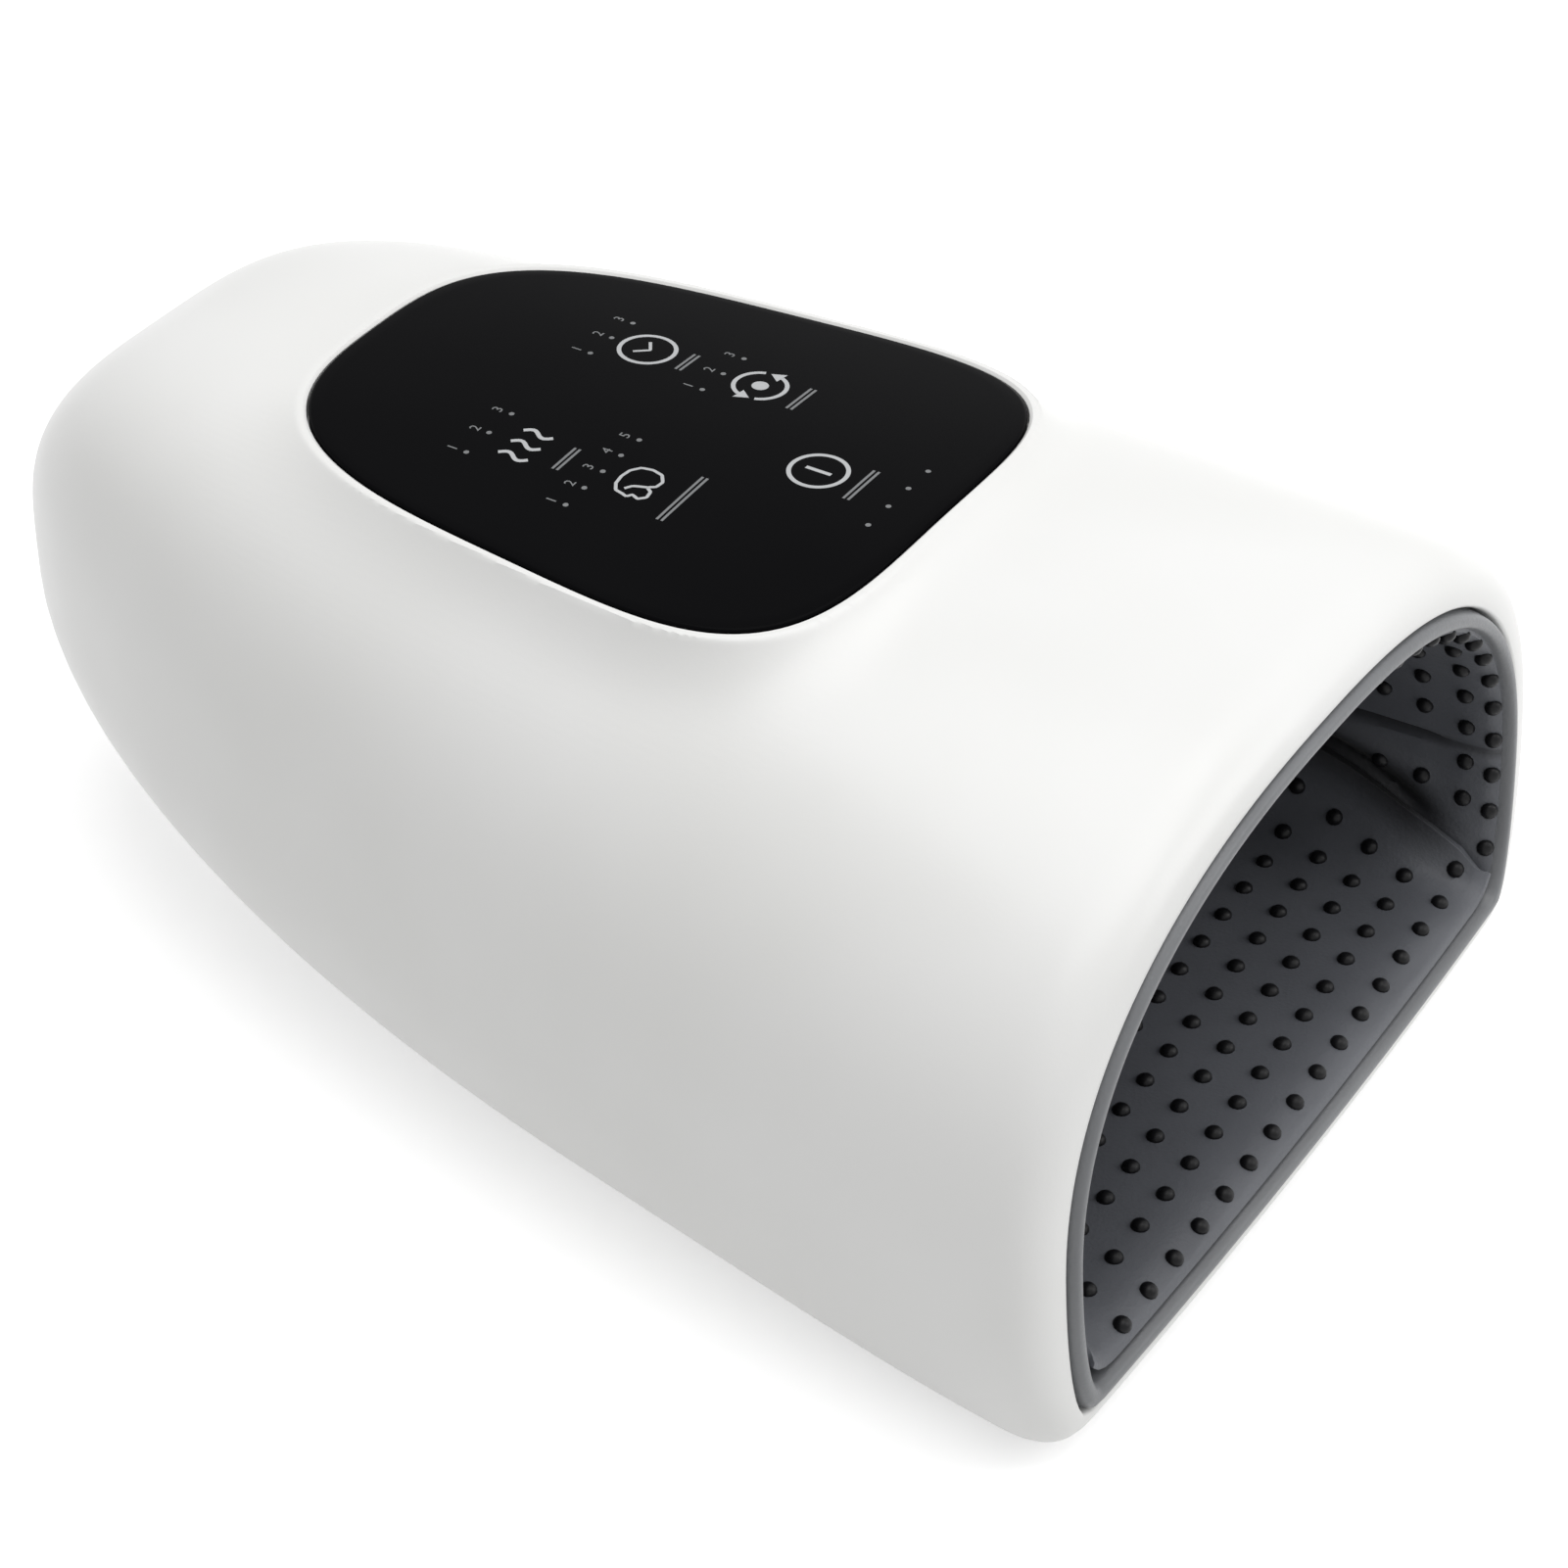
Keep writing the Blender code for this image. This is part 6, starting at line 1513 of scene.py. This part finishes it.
# CHARGING INLET
# A drawn steel mouth with round ends and a plastic contact tongue, on a flange behind the casing's
# far side wall. It faces straight out of the wall.
INLET_DEPTH = 7.4 * MM
INLET_HOLLOW = 5 * MM
INLET_WALL = 0.4 * MM
TONGUE_WIDTH = 6.6 * MM
TONGUE_THICK = 0.7 * MM
TONGUE_DRAW = 0.15 * MM
FLANGE_EDGE = 3.5 * MM
FLANGE_THICK = 1.4 * MM
INLET_CORNER = 0.1 * MM

face = -CASING_WALL / 3 - PANEL_GAP
flange = -CASING_WALL - 3 * PANEL_GAP
bm = bmesh.new()
ringed(bm, [
    widened(0, face - INLET_DEPTH),
    widened(0, flange - FLANGE_THICK),
    widened(FLANGE_EDGE, flange - FLANGE_THICK),
    widened(FLANGE_EDGE, flange),
    widened(0, flange),
    widened(0, face - INLET_CORNER),
    widened(-INLET_CORNER, face),
    widened(INLET_CORNER - INLET_WALL, face),
    widened(-INLET_WALL, face - INLET_CORNER),
    widened(-INLET_WALL, face - INLET_HOLLOW),
])
inlet = piece_from("inlet_mouth", bm)
drawn_steel = moulded(
    "drawn_steel", (0.42, 0.42, 0.43), (0.55, 0.55, 0.56), 0.26, 0.06, 900, 0.015 * MM, METAL
)
give(inlet, drawn_steel)
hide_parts("charge_socket")
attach(inlet, "casing")
bm = bmesh.new()
ringed(bm, [
    inlet_ring(TONGUE_WIDTH, TONGUE_THICK, face - INLET_HOLLOW),
    inlet_ring(TONGUE_WIDTH, TONGUE_THICK, face - INLET_WALL - TONGUE_DRAW),
    inlet_ring(TONGUE_WIDTH - 2 * TONGUE_DRAW, TONGUE_THICK - 2 * TONGUE_DRAW, face - INLET_WALL),
])
tongue = piece_from("inlet_tongue", bm)
tongue_nylon = moulded(
    "tongue_nylon", (0.02, 0.02, 0.021), (0.03, 0.03, 0.031), 0.5, 0.05, 1500, 0.02 * MM
)
give(tongue, tongue_nylon)
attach(tongue, "casing")

# RETURN SPRING
# A small coil of bright wire in the release valve's bore, between its end and the plunger.
VALVE_Y = 186.5 * MM
VALVE_Z = 19.4 * MM
COIL_START = -8.4 * MM
COIL_END = -2.6 * MM
COIL_RADIUS = 1.75 * MM
WIRE_RADIUS = 0.3 * MM
COIL_TURNS = 4
COIL_STEPS = 24
WIRE_POINTS = 10

bm = bmesh.new()
rings = []
for k in range(COIL_TURNS * COIL_STEPS + 1):
    turn = 2 * math.pi * k / COIL_STEPS
    along = COIL_START + (COIL_END - COIL_START) * k / (COIL_TURNS * COIL_STEPS)
    ring = []
    for m in range(WIRE_POINTS):
        angle = 2 * math.pi * m / WIRE_POINTS
        reach = COIL_RADIUS + WIRE_RADIUS * math.cos(angle)
        ring.append((
            along + WIRE_RADIUS * math.sin(angle),
            VALVE_Y + reach * math.cos(turn),
            VALVE_Z + reach * math.sin(turn),
        ))
    rings.append(ring)
ringed(bm, rings)
coil = piece_from("valve_coil", bm)
give(coil, drawn_steel)
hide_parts("valve_spring")
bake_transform(coil)

# PIECES INSIDE
# Frame, boards, cells, pump and valve never show from outside. They keep their solids from the
# model and get the finish of the real material: moulded nylon, solder mask, shrink wrap, steel.
frame_nylon = moulded("frame_nylon", (0.05, 0.05, 0.053), (0.07, 0.07, 0.073), 0.55, 0.06, 1200, 0.04 * MM)
board_mask = moulded("board_mask", (0.01, 0.1, 0.04), (0.016, 0.14, 0.06), 0.4, 0.06, 600, 0.02 * MM)
cell_wrap = moulded("cell_wrap", (0.03, 0.14, 0.33), (0.05, 0.2, 0.42), 0.3, 0.05, 500, 0.02 * MM)
guide_milk = moulded("guide_milk", (0.74, 0.74, 0.72), (0.8, 0.8, 0.78), 0.5, 0.05, 900, 0.02 * MM)
foam_tape = moulded("foam_tape", (0.025, 0.025, 0.025), (0.035, 0.035, 0.035), 0.75, 0.06, 2000, 0.05 * MM)
film_ink = moulded("film_ink", (0.025, 0.025, 0.025), (0.04, 0.04, 0.04), 0.5, 0.05, 800, 0.02 * MM)
INSIDE = {
    frame_nylon: ("tunnel_frame", "battery_tray", "pump_head", "rear_bracket"),
    board_mask: ("touch_board", "main_board"),
    cell_wrap: ("battery_cell_front", "battery_cell_rear"),
    guide_milk: ("light_guide",),
    foam_tape: ("panel_gasket",),
    film_ink: ("heating_film",),
    drawn_steel: ("pump_motor", "pump_rotor", "valve_body", "valve_plunger"),
    zinc_plate: ("board_screw_1", "board_screw_2", "board_screw_3", "board_screw_4"),
}
for finish, names in INSIDE.items():
    for name in names:
        give(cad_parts[name], finish)

# TABLE, LIGHT AND CAMERA
# A plain pale table top under a soft studio light from above, and the camera where the photograph
# was taken from.
TABLE_HALF = 4.0
TABLE_GLOW = 0.52
STUDIO_LEVEL = 0.475
LOOK_AT = Vector((0, -3.02 * MM, 46.77 * MM))
CAMERA_AZIMUTH = math.radians(-55.96)
CAMERA_RISE = math.radians(35.305)
CAMERA_ROLL = math.radians(-1.218)
CAMERA_DISTANCE = 636.45 * MM
CAMERA_LENS = 96.06
CAMERA_SENSOR = 36
CAMERA_SHIFT = (0.0646, -0.0593)

bm = bmesh.new()
corners = [(-1, -1), (1, -1), (1, 1), (-1, 1)]
bm.faces.new([bm.verts.new((x * TABLE_HALF, y * TABLE_HALF, 0)) for x, y in corners])
table_top = piece_from("table_top", bm, in_frame=True)
table_paint, table_shader = shader_of("table_paint", {"Roughness": 0.9, "Specular IOR Level": 0.1})
tree = table_paint.node_tree
pale = ramp_of(tree, grain_of(tree, 3, 2), 0.3, 0.7, ((0.8, 0.8, 0.8), (0.82, 0.82, 0.82)))
tree.links.new(pale, table_shader.inputs["Base Color"])


def seen_directly(tree):
    """1 for camera, glossy and transmission rays, 0 for the light that falls on things."""
    rays = node(tree, "ShaderNodeLightPath")
    either = {0: rays.outputs["Is Camera Ray"], 1: rays.outputs["Is Glossy Ray"]}
    seen = node(tree, "ShaderNodeMath", either, operation="MAXIMUM")
    any_of = {0: seen.outputs[0], 1: rays.outputs["Is Transmission Ray"]}
    return node(tree, "ShaderNodeMath", any_of, operation="MAXIMUM")


seen = seen_directly(tree)
lift = node(tree, "ShaderNodeMath", {0: seen.outputs[0], 1: TABLE_GLOW}, operation="MULTIPLY")
glow = node(tree, "ShaderNodeEmission", {"Color": (1, 1, 1, 1), "Strength": lift.outputs[0]})
both = node(tree, "ShaderNodeAddShader", {0: table_shader.outputs[0], 1: glow.outputs[0]})
tree.links.new(both.outputs[0], tree.nodes["Material Output"].inputs["Surface"])
give(table_top, table_paint)

world = bpy.data.worlds.new("studio")
bpy.context.scene.world = world
world.use_nodes = True
tree = world.node_tree
back = tree.nodes["Background"]
seen = seen_directly(tree)
level = node(tree, "ShaderNodeMapRange", {"Value": seen.outputs[0], "To Min": STUDIO_LEVEL, "To Max": 1.0})
back.inputs["Color"].default_value = (1, 1, 1, 1)
tree.links.new(level.outputs["Result"], back.inputs["Strength"])


def softbox(name, place, aim, width, height, power):
    """A square studio lamp turned towards a point."""
    lamp = bpy.data.lights.new(name, "AREA")
    lamp.shape = "RECTANGLE"
    lamp.size = width
    lamp.size_y = height
    lamp.energy = power
    made = linked(name, lamp)
    made.location = place
    made.rotation_mode = "QUATERNION"
    made.rotation_quaternion = (Vector(aim) - Vector(place)).to_track_quat("-Z", "Y")


softbox("top_box", (0.1, -0.1, 1.1), (0, 0, 0.05), 1.0, 1.0, 7.3)
softbox("front_box", (0.5, -0.9, 0.6), (0, 0, 0.05), 0.6, 0.6, 2.6)

camera_data = bpy.data.cameras.new("camera")
camera = linked("camera", camera_data)
bpy.context.scene.camera = camera
behind = Vector((
    math.sin(CAMERA_AZIMUTH) * math.cos(CAMERA_RISE),
    -math.cos(CAMERA_AZIMUTH) * math.cos(CAMERA_RISE),
    math.sin(CAMERA_RISE),
))
right = Vector((math.cos(CAMERA_AZIMUTH), math.sin(CAMERA_AZIMUTH), 0))
up = behind.cross(right)
rolled_right = math.cos(CAMERA_ROLL) * right + math.sin(CAMERA_ROLL) * up
rolled_up = -math.sin(CAMERA_ROLL) * right + math.cos(CAMERA_ROLL) * up
matrix = np.eye(4)
matrix[:3, :3] = np.array([rolled_right, rolled_up, behind]).T
matrix[:3, 3] = LOOK_AT + behind * CAMERA_DISTANCE
camera.matrix_world = Matrix(matrix.tolist())
camera_data.sensor_width = CAMERA_SENSOR
camera_data.lens = CAMERA_LENS
camera_data.shift_x, camera_data.shift_y = CAMERA_SHIFT
camera_data.clip_start = 0.01
camera_data.clip_end = 50

bpy.context.scene.view_settings.view_transform = "Standard"
